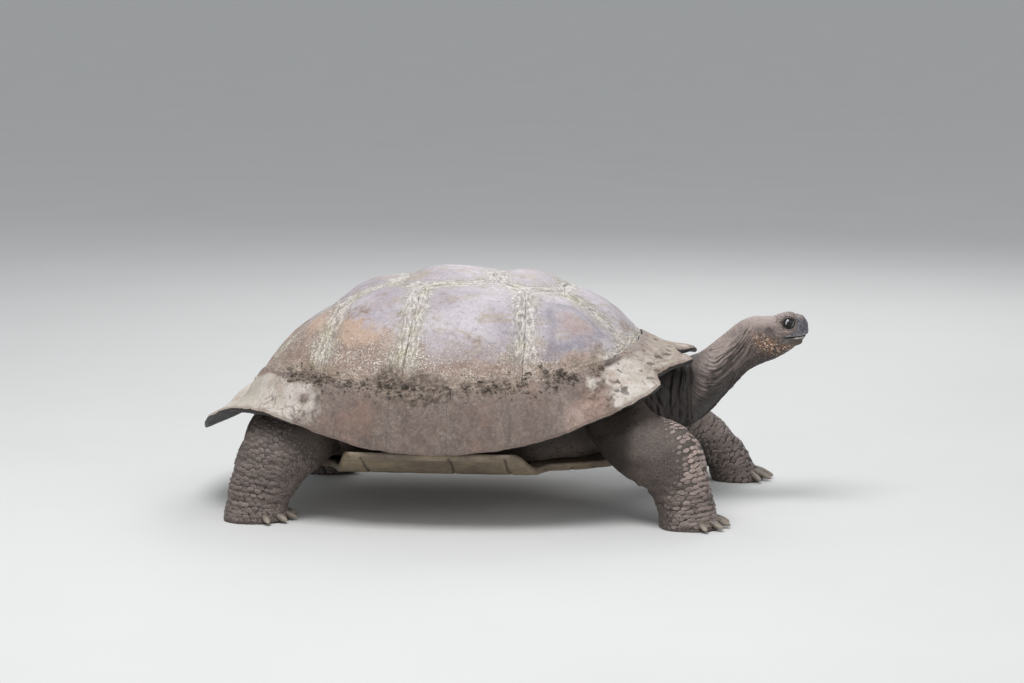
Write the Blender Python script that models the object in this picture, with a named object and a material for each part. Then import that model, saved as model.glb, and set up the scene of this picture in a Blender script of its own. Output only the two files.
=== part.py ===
"""An adult male giant tortoise with a domed shell, standing low with its neck raised.

Metres, +Z up. The tortoise faces +X, its left side is +Y, and its four soles
stand on Z = 0. The dimensions are laid out from the middle of the shell, and
the empty giant_tortoise then shifts them, so that the origin lies on the
ground under the middle of the whole length.

The carapace is a smooth dome over a unit disc: (p, q) in the disc is p forward
and q left, t is the distance from the middle and the rim is at t = 1. Every
shell plate is a polygon in that disc.
"""

import math

import bmesh
import bpy
import numpy as np
from mathutils import Matrix, Vector

# Driving dimensions.
SHELL_HALF_LENGTH = 0.55
SHELL_HALF_WIDTH = 0.405
RIM_POWER = 0.87  # under 1, the rim is squarer than an ellipse
SNOUT_X = 0.7833
CENTRE_SHIFT = -(SNOUT_X - SHELL_HALF_LENGTH) / 2

# Profiles of the dome, from the middle of the shell (t = 0) to the rim (t = 1).
PROFILE_T = (0.0, 0.2, 0.4, 0.6, 0.8, 0.9, 1.0)
FRONT_X = (0.0, 0.110, 0.220, 0.325, 0.420, 0.480, 0.550)
FRONT_Z = (0.511, 0.507, 0.493, 0.445, 0.374, 0.344, 0.335)
REAR_X = (0.0, 0.105, 0.205, 0.304, 0.416, 0.463, 0.550)
REAR_Z = (0.511, 0.496, 0.468, 0.401, 0.290, 0.208, 0.163)
SIDE_Y = (0.0, 0.100, 0.195, 0.295, 0.380, 0.398, 0.405)
SIDE_Z = (0.511, 0.503, 0.481, 0.424, 0.300, 0.235, 0.165)
FRONT_ARCH = 0.012  # how far the rim rises over each foreleg
REAR_ARCH = 0.078  # how far the rim rises over each hind leg

# Plates.
SEAM_T = 0.8  # the ring where the big plates meet the marginals
GAP_HALF = 0.0011  # half of the cut between two plates, in disc units
PLATE_DEPTH = 0.018  # under the dome's surface, to the plates' inner face
RIM_DEPTH = 0.011
BIG_RELIEF = (-0.006, 0.002, 0.006, 0.006)  # from a plate's edge to its middle
MARGINAL_RELIEF = (-0.003, 0.003, 0.004)
BIG_RINGS = (1.0, 0.7, 0.35, 0.0)
MARGINAL_RINGS = (1.0, 0.5, 0.0)
INNER_RINGS = (1.0, 0.5, 0.0)
NOTCH = 0.075  # the rim's dip between the two first marginals, over the neck
NOTCH_DEGREES = 7.5
SET_BACK_DEGREES = (11.0, 18.0, 28.5, 32.5)  # where the rim steps in behind the neck
SET_BACK = (0.0, 0.038, 0.055, 0.0)  # disc units, at those angles
ARC_STEP = 9.0  # degrees, the longest chord along a ring
SIDE_CHORD = 0.14  # disc units, the longest chord along a straight seam

# Seams of the right side; the left side mirrors them. Angles run back from the front.
VERTEBRAL_SEAMS = ((0.46, 0.20), (0.17, 0.22), (-0.177, 0.22), (-0.515, 0.20))
VERTEBRAL_CORNERS = ((0.27, 0.30), (-0.05, 0.30), (-0.34, 0.28))
VERTEBRAL_FRONT, VERTEBRAL_REAR = 22.0, 150.0
COSTAL_SEAMS = (71.0, 95.0, 116.0)
MARGINAL_SEAMS = (0.0, 15.0, 30.0, 44.3, 61.7, 75.0, 87.4, 97.2, 114.5, 132.0, 148.0, 164.0)

# Plastron.
PLASTRON_BOTTOM = 0.098
PLASTRON_THICK = 0.016
PLASTRON_FRONT, PLASTRON_REAR = 0.40, -0.40
LOBE_HALF_WIDTH = 0.215
BRIDGE_HALF_WIDTH = 0.388
BRIDGE_FRONT, BRIDGE_REAR = 0.20, -0.205
BRIDGE_CORNER = 0.08
BRIDGE_RISE = 0.052
FLAT_HALF_WIDTH = 0.24
LOBE_POWER, LOBE_FULLNESS = 3.2, 0.93  # how square the lobes are, and how far they draw in at their ends
ANAL_NOTCH, ANAL_NOTCH_X, ANAL_NOTCH_REACH = 0.03, -0.32, 0.08
BETWEEN_BRIDGES_X = (0.08, -0.04, -0.12)  # sections between the bridges' ends

# Trunk: the flesh between the carapace and the plastron.
TRUNK_DEPTH = 0.0280
TRUNK_RINGS = (0.25, 0.5, 0.7, 0.82, 0.91, 1.0)
TRUNK_WALL = (0.35, 0.7)
TRUNK_FLOOR = 0.1215
TRUNK_FRONT_T, TRUNK_SIDE_T = 0.79, 0.93
TRUNK_SIDE_START, TRUNK_SIDE_END, TRUNK_TURN = 50.0, 130.0, 16.0  # degrees from the front
TRUNK_SWELL = 0.018  # how far the skin bulges in the front and rear openings
TRUNK_BOTTOM_X, TRUNK_BOTTOM_Y = 0.355, 0.232
CUT = 0.0006  # what a neighbour is grown by where it cuts another piece
JOINT_GAP = 0.0004  # half of the cut between two lengths of one limb

# Neck and head: x, z of the middle, half width, half height.
NECK_KEYS = (
    (0.380, 0.228, 0.120, 0.105),
    (0.450, 0.235, 0.108, 0.093),
    (0.515, 0.250, 0.088, 0.074),
    (0.572, 0.286, 0.066, 0.054),
    (0.6235, 0.3325, 0.053, 0.047),
    (0.665, 0.3595, 0.052, 0.0518),
)
HEAD_KEYS = (
    (0.665, 0.3595, 0.052, 0.0518),
    (0.695, 0.3675, 0.051, 0.0482),
    (0.720, 0.3760, 0.048, 0.0424),
    (0.740, 0.3859, 0.0445, 0.0388),
    (0.757, 0.3880, 0.037, 0.0350),
    (0.770, 0.3907, 0.028, 0.0268),
    (0.779, 0.3907, 0.016, 0.0163),
)
HEAD_POWER = 2.6  # 2 is an ellipse, more is squarer
NOSE_SHARE, NOSE_BACK = 0.55, 0.0003  # the snout's last ring: its size, and its distance from the tip
MOUTH_HALF_WIDTH = 0.08
MOUTH = ((0.703, 0.29), (0.710, 0.364), (0.7320, 0.3748), (0.81, 0.3795), (0.81, 0.29))
EYE_CENTRE = (0.7415, 0.0283, 0.4048)
EYE_RADIUS = 0.0135

# Legs: x, distance from the middle plane, z, fore-and-aft radius, sideways radius.
RIGHT_FORELEG = (
    (0.370, 0.170, 0.215, 0.068, 0.066),
    (0.424, 0.215, 0.168, 0.072, 0.068),
    (0.484, 0.252, 0.140, 0.080, 0.070),
    (0.512, 0.266, 0.100, 0.066, 0.064),
    (0.530, 0.274, 0.050, 0.060, 0.060),
    (0.540, 0.278, 0.000, 0.066, 0.066),
)
LEFT_FORELEG = (
    (0.370, 0.170, 0.215, 0.068, 0.066),
    (0.420, 0.220, 0.182, 0.068, 0.068),
    (0.480, 0.256, 0.138, 0.066, 0.066),
    (0.545, 0.274, 0.094, 0.058, 0.060),
    (0.598, 0.282, 0.052, 0.048, 0.056),
    (0.626, 0.286, 0.000, 0.060, 0.062),
)
RIGHT_HIND_LEG = (
    (-0.260, 0.180, 0.212, 0.082, 0.070),
    (-0.300, 0.228, 0.182, 0.084, 0.074),
    (-0.345, 0.262, 0.138, 0.078, 0.072),
    (-0.372, 0.280, 0.088, 0.070, 0.068),
    (-0.385, 0.288, 0.042, 0.064, 0.064),
    (-0.390, 0.290, 0.000, 0.070, 0.068),
)
LEFT_HIND_LEG = (
    (-0.260, 0.180, 0.212, 0.080, 0.070),
    (-0.285, 0.230, 0.182, 0.080, 0.074),
    (-0.306, 0.264, 0.140, 0.074, 0.070),
    (-0.318, 0.282, 0.090, 0.068, 0.066),
    (-0.326, 0.290, 0.042, 0.063, 0.062),
    (-0.329, 0.292, 0.000, 0.070, 0.068),
)
LIMB_POWER = 2.2
KNEE, ANKLE = 2.0, 4.0  # where a leg is parted, counted in keys
CLAW_LENGTH, CLAW_RADIUS, CLAW_TIP = 0.036, 0.0112, 0.0034
CLAW_ROOT = 0.42  # the share of a claw that lies inside its foot
CLAW_LIFT = 0.003  # from the ground to the underside of a claw's root
CLAW_STEP = 28.0  # degrees between the claws of a foot
CLAW_PITCH = 0.2  # how far a claw drops for each unit of its reach
# Each leg: its name, keys, side, number of claws and the heading of the foot in degrees.
LEGS = (
    ("foreleg_right", RIGHT_FORELEG, -1, 5, -8.0),
    ("foreleg_left", LEFT_FORELEG, 1, 5, 6.0),
    ("hind_leg_right", RIGHT_HIND_LEG, -1, 4, -20.0),
    ("hind_leg_left", LEFT_HIND_LEG, 1, 4, 16.0),
)

TAIL_KEYS = (
    (-0.350, 0.000, 0.205, 0.042, 0.046),
    (-0.400, -0.006, 0.180, 0.034, 0.038),
    (-0.435, -0.014, 0.147, 0.025, 0.028),
    (-0.454, -0.020, 0.112, 0.016, 0.017),
    (-0.460, -0.022, 0.082, 0.006, 0.006),
)

RING_POINTS = 18
TRUNK_POINTS = 40
CREASE_DEGREES = 50  # a sharper edge than this isn't shaded smooth

COLOURS = {
    "shell_keratin": ((0.33, 0.27, 0.24), 0.55),
    "marginal_keratin": ((0.23, 0.17, 0.14), 0.60),
    "plastron_keratin": ((0.30, 0.25, 0.18), 0.60),
    "skin": ((0.13, 0.10, 0.085), 0.75),
    "head_skin": ((0.22, 0.17, 0.15), 0.70),
    "beak": ((0.10, 0.10, 0.105), 0.45),
    "eye": ((0.010, 0.009, 0.008), 0.05),
}


def ease(share):
    """0 up to share 0, 1 from share 1, and smooth between."""
    share = np.clip(share, 0.0, 1.0)
    return share * share * (3 - 2 * share)


def curve_through(knots, values, at, level_start=False):
    """A cubic curve through values at knots, which never swings past them."""
    knots, values, at = np.asarray(knots, float), np.asarray(values, float), np.asarray(at, float)
    step = np.diff(knots)
    rise = np.diff(values) / step
    slope = np.concatenate([rise[:1], (rise[:-1] + rise[1:]) / 2, rise[-1:]])
    slope[1:-1][rise[:-1] * rise[1:] <= 0] = 0.0
    if level_start:
        slope[0] = 0.0
    i = np.clip(np.searchsorted(knots, at, side="right") - 1, 0, len(step) - 1)
    u = (at - knots[i]) / step[i]
    v = 1 - u
    ends = values[i] * (1 + 2 * u) * v * v + values[i + 1] * u * u * (3 - 2 * u)
    return ends + step[i] * u * v * (slope[i] * v - slope[i + 1] * u)


# The dome.


def dome(p, q):
    """The carapace's surface over the point (p, q) of the disc."""
    p, q = np.asarray(p, float), np.asarray(q, float)
    t = np.maximum(np.hypot(p, q), 1e-9)
    c, s = p / t, q / t
    along, across = c * c, s * s
    fore = c >= 0
    x_share = np.where(
        fore, curve_through(PROFILE_T, FRONT_X, t), curve_through(PROFILE_T, REAR_X, t)
    )
    share = along * x_share / SHELL_HALF_LENGTH
    share += across * curve_through(PROFILE_T, SIDE_Y, t) / SHELL_HALF_WIDTH
    x = np.sign(c) * SHELL_HALF_LENGTH * np.abs(c) ** RIM_POWER * share
    y = np.sign(s) * SHELL_HALF_WIDTH * np.abs(s) ** RIM_POWER * share
    front_z = curve_through(PROFILE_T, FRONT_Z, t, level_start=True)
    rear_z = curve_through(PROFILE_T, REAR_Z, t, level_start=True)
    side_z = curve_through(PROFILE_T, SIDE_Z, t, level_start=True)
    z = along * np.where(fore, front_z, rear_z) + across * side_z
    arch = np.where(fore, FRONT_ARCH, REAR_ARCH) * 4 * along * across
    return np.stack([x, y, z + arch * t**6], axis=-1)


def under_dome(p, q, depth):
    """The dome's point (p, q), moved in by depth along the surface's normal."""
    h = 1e-4
    along = dome(p + h, q) - dome(p - h, q)
    across = dome(p, q + h) - dome(p, q - h)
    normal = np.cross(along, across)
    normal /= np.linalg.norm(normal, axis=-1, keepdims=True)
    return dome(p, q) - normal * np.asarray(depth)[..., None]


def rim_t(degrees):
    """The rim, with its notch over the neck and its first two plates set back from the third."""
    degrees = np.asarray(degrees, float)
    notch = NOTCH * np.exp(-((degrees / NOTCH_DEGREES) ** 2))
    return 1.0 - notch - np.interp(degrees, SET_BACK_DEGREES, SET_BACK)


def on_ring(t, degrees):
    """A disc point on the right side, at an angle counted back from the front."""
    a = math.radians(degrees)
    return (t * math.cos(a), -t * math.sin(a))


def ring_angles():
    """Every seam's angle, with more between them, so that plates share their chords."""
    seams = sorted({*COSTAL_SEAMS, *MARGINAL_SEAMS, VERTEBRAL_FRONT, VERTEBRAL_REAR, 180.0})
    angles = []
    for a, b in zip(seams, seams[1:]):
        n = max(1, math.ceil((b - a) / ARC_STEP))
        angles += [a + (b - a) * i / n for i in range(n)]
    return [*angles, 180.0]


RING_ANGLES = ring_angles()


def straight(a, b):
    """Points from a to b in the disc, b left out, spaced alike from either end."""
    n = max(1, math.ceil(math.dist(a, b) / SIDE_CHORD))
    return [(a[0] + (b[0] - a[0]) * i / n, a[1] + (b[1] - a[1]) * i / n) for i in range(n)]


def seam_t(degrees):
    return SEAM_T


def arc(t_at, start, end):
    """Points along a ring from one angle to the other, the last left out."""
    between = [a for a in RING_ANGLES if min(start, end) <= a <= max(start, end)]
    between = between if end > start else between[::-1]
    return [on_ring(t_at(a), a) for a in between[:-1]]


def mirrored(points):
    return [(p, -q) for p, q in reversed(points)]


def inset(outline, by):
    """The outline, whose inside is on its left, with every edge moved inward."""
    points = np.array(outline)
    edge = np.roll(points, -1, axis=0) - points
    edge /= np.linalg.norm(edge, axis=1, keepdims=True)
    inward = np.stack([-edge[:, 1], edge[:, 0]], axis=1)
    before = np.roll(inward, 1, axis=0)
    corner = inward + before
    corner /= 1 + (inward * before).sum(axis=1, keepdims=True)
    return points + corner * by


def area(outline):
    points = np.array(outline)
    after = np.roll(points, -1, axis=0)
    return (points[:, 0] * after[:, 1] - after[:, 0] * points[:, 1]).sum() / 2


def plate_outlines():
    """Name, outline and whether it is a marginal, for every plate of the carapace."""
    seams = [(p, -q) for p, q in VERTEBRAL_SEAMS]
    corners = [(p, -q) for p, q in VERTEBRAL_CORNERS]
    front = on_ring(SEAM_T, VERTEBRAL_FRONT)
    rear = on_ring(SEAM_T, VERTEBRAL_REAR)
    for i in range(5):
        if i == 0:
            half = arc(seam_t, 0.0, VERTEBRAL_FRONT) + straight(front, seams[0]) + [seams[0]]
        elif i == 4:
            half = straight(seams[3], rear) + arc(seam_t, VERTEBRAL_REAR, 180.0)
            half = half + [on_ring(SEAM_T, 180.0)]
        else:
            half = straight(seams[i - 1], corners[i - 1]) + straight(corners[i - 1], seams[i])
            half = half + [seams[i]]
        other = [point for point in mirrored(half) if abs(point[1]) > 1e-9]
        yield f"vertebral_{i + 1}", half + other, False
    lows = [VERTEBRAL_FRONT, *COSTAL_SEAMS, VERTEBRAL_REAR]
    tops = [front, seams[0], corners[0], seams[1], corners[1], seams[2], corners[2], seams[3], rear]
    for i in range(4):
        low_front, low_rear = on_ring(SEAM_T, lows[i]), on_ring(SEAM_T, lows[i + 1])
        chain = tops[2 * i : 2 * i + 3]
        if i > 0:
            chain = [low_front, *chain]
        if i < 3:
            chain = [*chain, low_rear]
        outline = [point for a, b in zip(chain, chain[1:]) for point in straight(a, b)]
        outline += arc(seam_t, lows[i + 1], lows[i])
        yield f"costal_right_{i + 1}", outline, False
        yield f"costal_left_{i + 1}", mirrored(outline), False
    for i, (a, b) in enumerate(zip(MARGINAL_SEAMS, MARGINAL_SEAMS[1:])):
        outline = arc(seam_t, a, b) + straight(on_ring(SEAM_T, b), on_ring(rim_t(b), b))
        outline += arc(rim_t, b, a) + straight(on_ring(rim_t(a), a), on_ring(SEAM_T, a))
        yield f"marginal_right_{i + 1}", outline, True
        yield f"marginal_left_{i + 1}", mirrored(outline), True
    last = MARGINAL_SEAMS[-1]
    half = arc(seam_t, 180.0, last) + straight(on_ring(SEAM_T, last), on_ring(1.0, last))
    half += arc(rim_t, last, 180.0) + [on_ring(1.0, 180.0)]
    yield "supracaudal", half + mirrored(half[1:-1]), True


# Meshes.


def material(name):
    found = bpy.data.materials.get(name)
    if found:
        return found
    (r, g, b), roughness = COLOURS[name]
    made = bpy.data.materials.new(name)
    made.use_nodes = True
    shader = made.node_tree.nodes["Principled BSDF"]
    shader.inputs["Base Color"].default_value = (r, g, b, 1.0)
    shader.inputs["Roughness"].default_value = roughness
    return made


def new_object(name, points, faces, finish, collection):
    """A closed mesh of these points and faces, its faces turned outward."""
    bm = bmesh.new()
    verts = [bm.verts.new(point) for point in points]
    for face in faces:
        bm.faces.new([verts[i] for i in face])
    bmesh.ops.triangulate(bm, faces=bm.faces)
    bmesh.ops.recalc_face_normals(bm, faces=bm.faces)
    mesh = bpy.data.meshes.new(name)
    bm.to_mesh(mesh)
    bm.free()
    mesh.shade_smooth()
    mesh.set_sharp_from_angle(angle=math.radians(CREASE_DEGREES))
    obj = bpy.data.objects.new(name, mesh)
    obj.data.materials.append(material(finish))
    obj.parent = root
    collection.objects.link(obj)
    return obj


def ring_faces(first, second, n):
    """Quads between two rings of n points that start at these indices."""
    after = [(i + 1) % n for i in range(n)]
    return [(first + i, first + after[i], second + after[i], second + i) for i in range(n)]


def fan_faces(ring, centre, n):
    return [(ring + i, ring + (i + 1) % n, centre) for i in range(n)]


def plate(name, outline, marginal, finish):
    """A shell plate: relief outside, a plain face inside, and walls at its seams."""
    outline = outline if area(outline) > 0 else outline[::-1]
    edge = inset(outline, GAP_HALF)
    middle = edge.mean(axis=0)
    rings = MARGINAL_RINGS if marginal else BIG_RINGS
    relief = MARGINAL_RELIEF if marginal else BIG_RELIEF
    n = len(edge)
    points, faces = [], []

    def face_of_rings(shares, depths):
        """Rings from the plate's edge towards its middle, and the point there."""
        first = len(points)
        for share, depth in zip(shares[:-1], depths[:-1]):
            disc = middle + (edge - middle) * share
            at = np.hypot(disc[:, 0], disc[:, 1])
            points.extend(under_dome(disc[:, 0], disc[:, 1], depth(at)))
        points.append(under_dome(*middle, depths[-1](np.hypot(*middle))))
        for k in range(len(shares) - 2):
            faces.extend(ring_faces(first + k * n, first + (k + 1) * n, n))
        faces.extend(fan_faces(len(points) - 1 - n, len(points) - 1, n))
        return first

    outer = face_of_rings(rings, [lambda at, h=h: np.full_like(at, -h) for h in relief])
    inner = face_of_rings(INNER_RINGS, [plate_depth] * len(INNER_RINGS))
    faces.extend(ring_faces(outer, inner, n))
    new_object(name, points, faces, finish, parts)


def plate_depth(t):
    return PLATE_DEPTH - (PLATE_DEPTH - RIM_DEPTH) * ease((t - SEAM_T) / (1 - SEAM_T))


def plastron_half_width(x):
    """Two rounded lobes with the bridges to the carapace between them."""
    reach = PLASTRON_FRONT if x > 0 else -PLASTRON_REAR
    lobe = LOBE_HALF_WIDTH * (1 - LOBE_FULLNESS * (abs(x) / reach) ** LOBE_POWER) ** 0.5
    bridge = ease((BRIDGE_FRONT - x) / BRIDGE_CORNER + 0.5)
    bridge *= ease((x - BRIDGE_REAR) / BRIDGE_CORNER + 0.5)
    return lobe + (BRIDGE_HALF_WIDTH - lobe) * float(bridge)


def plastron():
    """The belly plate, a strip of cross sections from front to rear."""
    corner = BRIDGE_CORNER / 2
    stations = [
        *np.linspace(PLASTRON_FRONT, BRIDGE_FRONT + BRIDGE_CORNER, 5),
        *np.linspace(BRIDGE_FRONT + corner, BRIDGE_FRONT - corner, 4),
        *BETWEEN_BRIDGES_X,
        *np.linspace(BRIDGE_REAR + corner, BRIDGE_REAR - corner, 4),
        *np.linspace(BRIDGE_REAR - BRIDGE_CORNER, PLASTRON_REAR, 5),
    ]
    across = np.sin(np.linspace(-1, 1, 9) * math.pi / 2)
    n = 2 * len(across)
    points = []
    for x in stations:
        y = plastron_half_width(x) * across
        notch = ANAL_NOTCH * ease((ANAL_NOTCH_X - x) / ANAL_NOTCH_REACH) * (1 - np.abs(across)) ** 2
        bend = (np.abs(y) - FLAT_HALF_WIDTH) / (BRIDGE_HALF_WIDTH - FLAT_HALF_WIDTH)
        lower = np.stack([x + notch, y, PLASTRON_BOTTOM + BRIDGE_RISE * ease(bend)], axis=1)
        points += [*lower, *(lower + (0.0, 0.0, PLASTRON_THICK))[::-1]]
    faces = []
    for k in range(len(stations) - 1):
        faces += ring_faces(k * n, (k + 1) * n, n)
    last = (len(stations) - 1) * n
    for i in range(len(across) - 1):
        for first in (0, last):
            faces.append((first + i, first + i + 1, first + n - 2 - i, first + n - 1 - i))
    new_object("plastron", points, faces, "plastron_keratin", parts)


def trunk(name, grow, collection):
    """Flesh that fills the shell, walled by skin at the front and rear openings."""
    n = TRUNK_POINTS
    angle = (np.arange(n) + 0.5) * 2 * math.pi / n
    c, s = np.cos(angle), np.sin(angle)
    back = np.degrees(np.arccos(c))
    side = ease((back - TRUNK_SIDE_START) / TRUNK_TURN) * ease((TRUNK_SIDE_END - back) / TRUNK_TURN)
    reach = TRUNK_FRONT_T + (TRUNK_SIDE_T - TRUNK_FRONT_T) * side
    points = [under_dome(1e-6, 0.0, TRUNK_DEPTH - grow)]
    for share in TRUNK_RINGS:
        t = reach * share
        points.extend(under_dome(t * c, t * s, np.full(n, TRUNK_DEPTH - grow)))
    top = np.array(points[-n:])
    bottom_x = np.sign(c) * (TRUNK_BOTTOM_X + grow) * np.abs(c) ** RIM_POWER
    bottom_y = np.sign(s) * (TRUNK_BOTTOM_Y + grow) * np.abs(s) ** RIM_POWER
    bottom = np.stack([bottom_x, bottom_y, np.full(n, TRUNK_FLOOR - grow)], axis=1)
    out = np.stack([c, s, np.zeros(n)], axis=1)
    for share in TRUNK_WALL:
        swell = (TRUNK_SWELL * (1 - side) * math.sin(share * math.pi) + grow)[:, None]
        points.extend(top + (bottom - top) * share + out * swell)
    points.extend(bottom)
    points.append((0.0, 0.0, TRUNK_FLOOR - grow))
    faces = [(1 + i, 1 + (i + 1) % n, 0) for i in range(n)]
    last = len(TRUNK_RINGS) + len(TRUNK_WALL)
    for k in range(last):
        faces += ring_faces(1 + k * n, 1 + (k + 1) * n, n)
    faces += fan_faces(1 + last * n, len(points) - 1, n)
    return new_object(name, points, faces, "skin", collection)


def section(centre, side, up, half_width, half_height, power):
    """A ring of points about centre, on the plane of side and up."""
    ring = []
    for k in range(RING_POINTS):
        a = 2 * math.pi * k / RING_POINTS
        c, s = math.cos(a), math.sin(a)
        u = math.copysign(abs(c) ** (2 / power), c) * half_width
        v = math.copysign(abs(s) ** (2 / power), s) * half_height
        ring.append(centre + side * u + up * v)
    return ring


def tube(name, rings, finish, collection):
    """A closed solid through rings of points, its ends capped by fans."""
    n = len(rings[0])
    points = [point for ring in rings for point in ring]
    ends = [sum(ring, Vector()) / n for ring in (rings[0], rings[-1])]
    faces = []
    for k in range(len(rings) - 1):
        faces += ring_faces(k * n, (k + 1) * n, n)
    last = (len(rings) - 1) * n
    faces += fan_faces(0, len(points), n) + fan_faces(last, len(points) + 1, n)
    return new_object(name, [*points, *ends], faces, finish, collection)


def stations_between(start, end, count):
    return [start + (end - start) * i / (count - 1) for i in range(count)]


def neck_and_head():
    """Sections in the middle plane; the neck and head part on one plane at the nape."""
    keys = NECK_KEYS + HEAD_KEYS[1:]
    index = range(len(keys))
    columns = [np.array(column) for column in zip(*keys)]
    joint = len(NECK_KEYS) - 1

    def ring_at(u, shift=0.0):
        x, z, half_width, half_height = (float(curve_through(index, v, u)) for v in columns)
        ahead = [float(curve_through(index, v, min(u + 0.05, len(keys) - 1))) for v in columns[:2]]
        behind = [float(curve_through(index, v, max(u - 0.05, 0))) for v in columns[:2]]
        along = Vector((ahead[0] - behind[0], 0.0, ahead[1] - behind[1])).normalized()
        up = Vector((-along.z, 0.0, along.x))
        power = 2.0 + (HEAD_POWER - 2.0) * float(ease((u - joint + 1) / 1.5))
        centre = Vector((x, 0.0, z)) + along * shift
        return section(centre, Vector((0, 1, 0)), up, half_width, half_height, power)

    neck_rings = [ring_at(u) for u in stations_between(0.0, joint - 0.5, 9)]
    neck_rings.append(ring_at(joint, -JOINT_GAP))
    neck = tube("neck", neck_rings, "skin", parts)
    head_rings = [ring_at(joint, JOINT_GAP)]
    head_rings += [ring_at(u) for u in stations_between(joint + 0.5, len(keys) - 1, 12)]
    tip = Vector((SNOUT_X, 0.0, HEAD_KEYS[-1][1]))
    nose = [tip + (point - tip) * NOSE_SHARE for point in head_rings[-1]]
    for point in nose:
        point.x = SNOUT_X - NOSE_BACK
    head_rings.append(nose)
    head = tube("head", head_rings, "head_skin", parts)
    jaw = tube("lower_jaw", head_rings, "beak", parts)
    return neck, head, jaw


def mouth_block(name, grow):
    """The block under the mouth line, which parts the lower jaw from the head."""
    middle = sum((Vector(point) for point in MOUTH), Vector((0, 0))) / len(MOUTH)
    grown = [Vector(point) + (Vector(point) - middle).normalized() * grow for point in MOUTH]
    rings = [[Vector((x, y, z)) for x, z in grown] for y in (-MOUTH_HALF_WIDTH, MOUTH_HALF_WIDTH)]
    return tube(name, rings, "beak", cutters)


def ball(name, radius, centre, finish, collection):
    bm = bmesh.new()
    bmesh.ops.create_uvsphere(bm, u_segments=14, v_segments=9, radius=radius)
    mesh = bpy.data.meshes.new(name)
    bm.to_mesh(mesh)
    bm.free()
    mesh.shade_smooth()
    obj = bpy.data.objects.new(name, mesh)
    obj.data.materials.append(material(finish))
    obj.parent = root
    obj.location = centre
    collection.objects.link(obj)
    return obj


def boolean(obj, operation, other):
    modifier = obj.modifiers.new(operation.lower(), "BOOLEAN")
    modifier.operation = operation
    modifier.object = other
    modifier.solver = "EXACT"


def limb_rings(keys, side, start, end, count, shift_start, shift_end):
    """Rings of a leg from one key to another; the sole's ring lies level."""
    index = range(len(keys))
    columns = [np.array(column) for column in zip(*keys)]
    last = len(keys) - 1
    rings = []
    for i, u in enumerate(stations_between(start, end, count)):
        x, y, z, along_radius, side_radius = (float(curve_through(index, v, u)) for v in columns)
        ahead = [float(curve_through(index, v, min(u + 0.1, last))) for v in columns[:3]]
        behind = [float(curve_through(index, v, max(u - 0.1, 0))) for v in columns[:3]]
        down = Vector([a - b for a, b in zip(ahead, behind)]).normalized()
        level = float(ease((u - last + 2) / 2)) if keys[-1][2] == 0 else 0.0
        down = down.lerp(Vector((0, 0, -1)), level).normalized()
        fore = (Vector((1, 0, 0)) - down * down.x).normalized()
        across = down.cross(fore).normalized()
        shift = shift_start if i == 0 else shift_end if i == count - 1 else 0.0
        centre = Vector((x, y, z)) + down * shift
        ring = section(centre, fore, across, along_radius, side_radius, LIMB_POWER)
        rings.append([Vector((point.x, side * point.y, max(point.z, 0.0))) for point in ring])
    return rings


def leg(prefix, keys, side, claw_count, heading):
    """Upper leg, lower leg and foot; the upper leg stops at the trunk's skin."""
    upper_rings = limb_rings(keys, side, 0.0, KNEE, 5, 0.0, -JOINT_GAP)
    upper = tube(f"{prefix}_upper", upper_rings, "skin", parts)
    boolean(upper, "DIFFERENCE", trunk_cutter)
    lower_rings = limb_rings(keys, side, KNEE, ANKLE, 5, JOINT_GAP, -JOINT_GAP)
    tube(f"{prefix}_lower", lower_rings, "skin", parts)
    foot_rings = limb_rings(keys, side, ANKLE, len(keys) - 1, 5, JOINT_GAP, 0.0)
    foot = tube(f"{prefix}_foot", foot_rings, "skin", parts)
    boolean(foot, "UNION", claws(prefix, foot_rings[-1], heading, claw_count))


def claws(prefix, sole, heading, count):
    """Blunt cones in a fan round the front of a sole, as one cutter object."""
    centre = sum(sole, Vector()) / len(sole)
    bm = bmesh.new()
    for k in range(count):
        fan = math.radians(heading + CLAW_STEP * (k - (count - 1) / 2))
        out = Vector((math.cos(fan), math.sin(fan), 0.0))
        root_reach = support(sole, centre, out) - CLAW_ROOT * CLAW_LENGTH
        middle = centre + out * (root_reach + CLAW_LENGTH / 2)
        middle.z = CLAW_RADIUS + CLAW_LIFT
        down = Vector((out.x, out.y, -CLAW_PITCH))
        turn = down.to_track_quat("Z", "Y").to_matrix().to_4x4()
        bmesh.ops.create_cone(
            bm,
            cap_ends=True,
            segments=8,
            radius1=CLAW_RADIUS,
            radius2=CLAW_TIP,
            depth=CLAW_LENGTH,
            matrix=Matrix.Translation(middle) @ turn,
        )
    mesh = bpy.data.meshes.new(f"{prefix}_claws")
    bm.to_mesh(mesh)
    bm.free()
    obj = bpy.data.objects.new(f"{prefix}_claws", mesh)
    obj.parent = root
    cutters.objects.link(obj)
    return obj


def support(ring, centre, out):
    """How far the ring reaches from its centre in one direction."""
    return max((point - centre).dot(out) for point in ring)


def tail():
    rings = limb_rings(TAIL_KEYS, 1.0, 0.0, len(TAIL_KEYS) - 1, 8, 0.0, 0.0)
    obj = tube("tail", rings, "skin", parts)
    boolean(obj, "DIFFERENCE", trunk_cutter)


for old in list(bpy.data.objects):
    bpy.data.objects.remove(old, do_unlink=True)
parts = bpy.data.collections.new("giant_tortoise_parts")
cutters = bpy.data.collections.new("cutters")
bpy.context.scene.collection.children.link(parts)
bpy.context.scene.collection.children.link(cutters)
root = bpy.data.objects.new("giant_tortoise", None)
root.location = (CENTRE_SHIFT, 0.0, 0.0)
parts.objects.link(root)

for plate_name, plate_outline, is_marginal in plate_outlines():
    plate_finish = "marginal_keratin" if is_marginal else "shell_keratin"
    plate(plate_name, plate_outline, is_marginal, plate_finish)
plastron()
trunk("trunk", 0.0, parts)
trunk_cutter = trunk("trunk_cutter", CUT, cutters)

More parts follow.
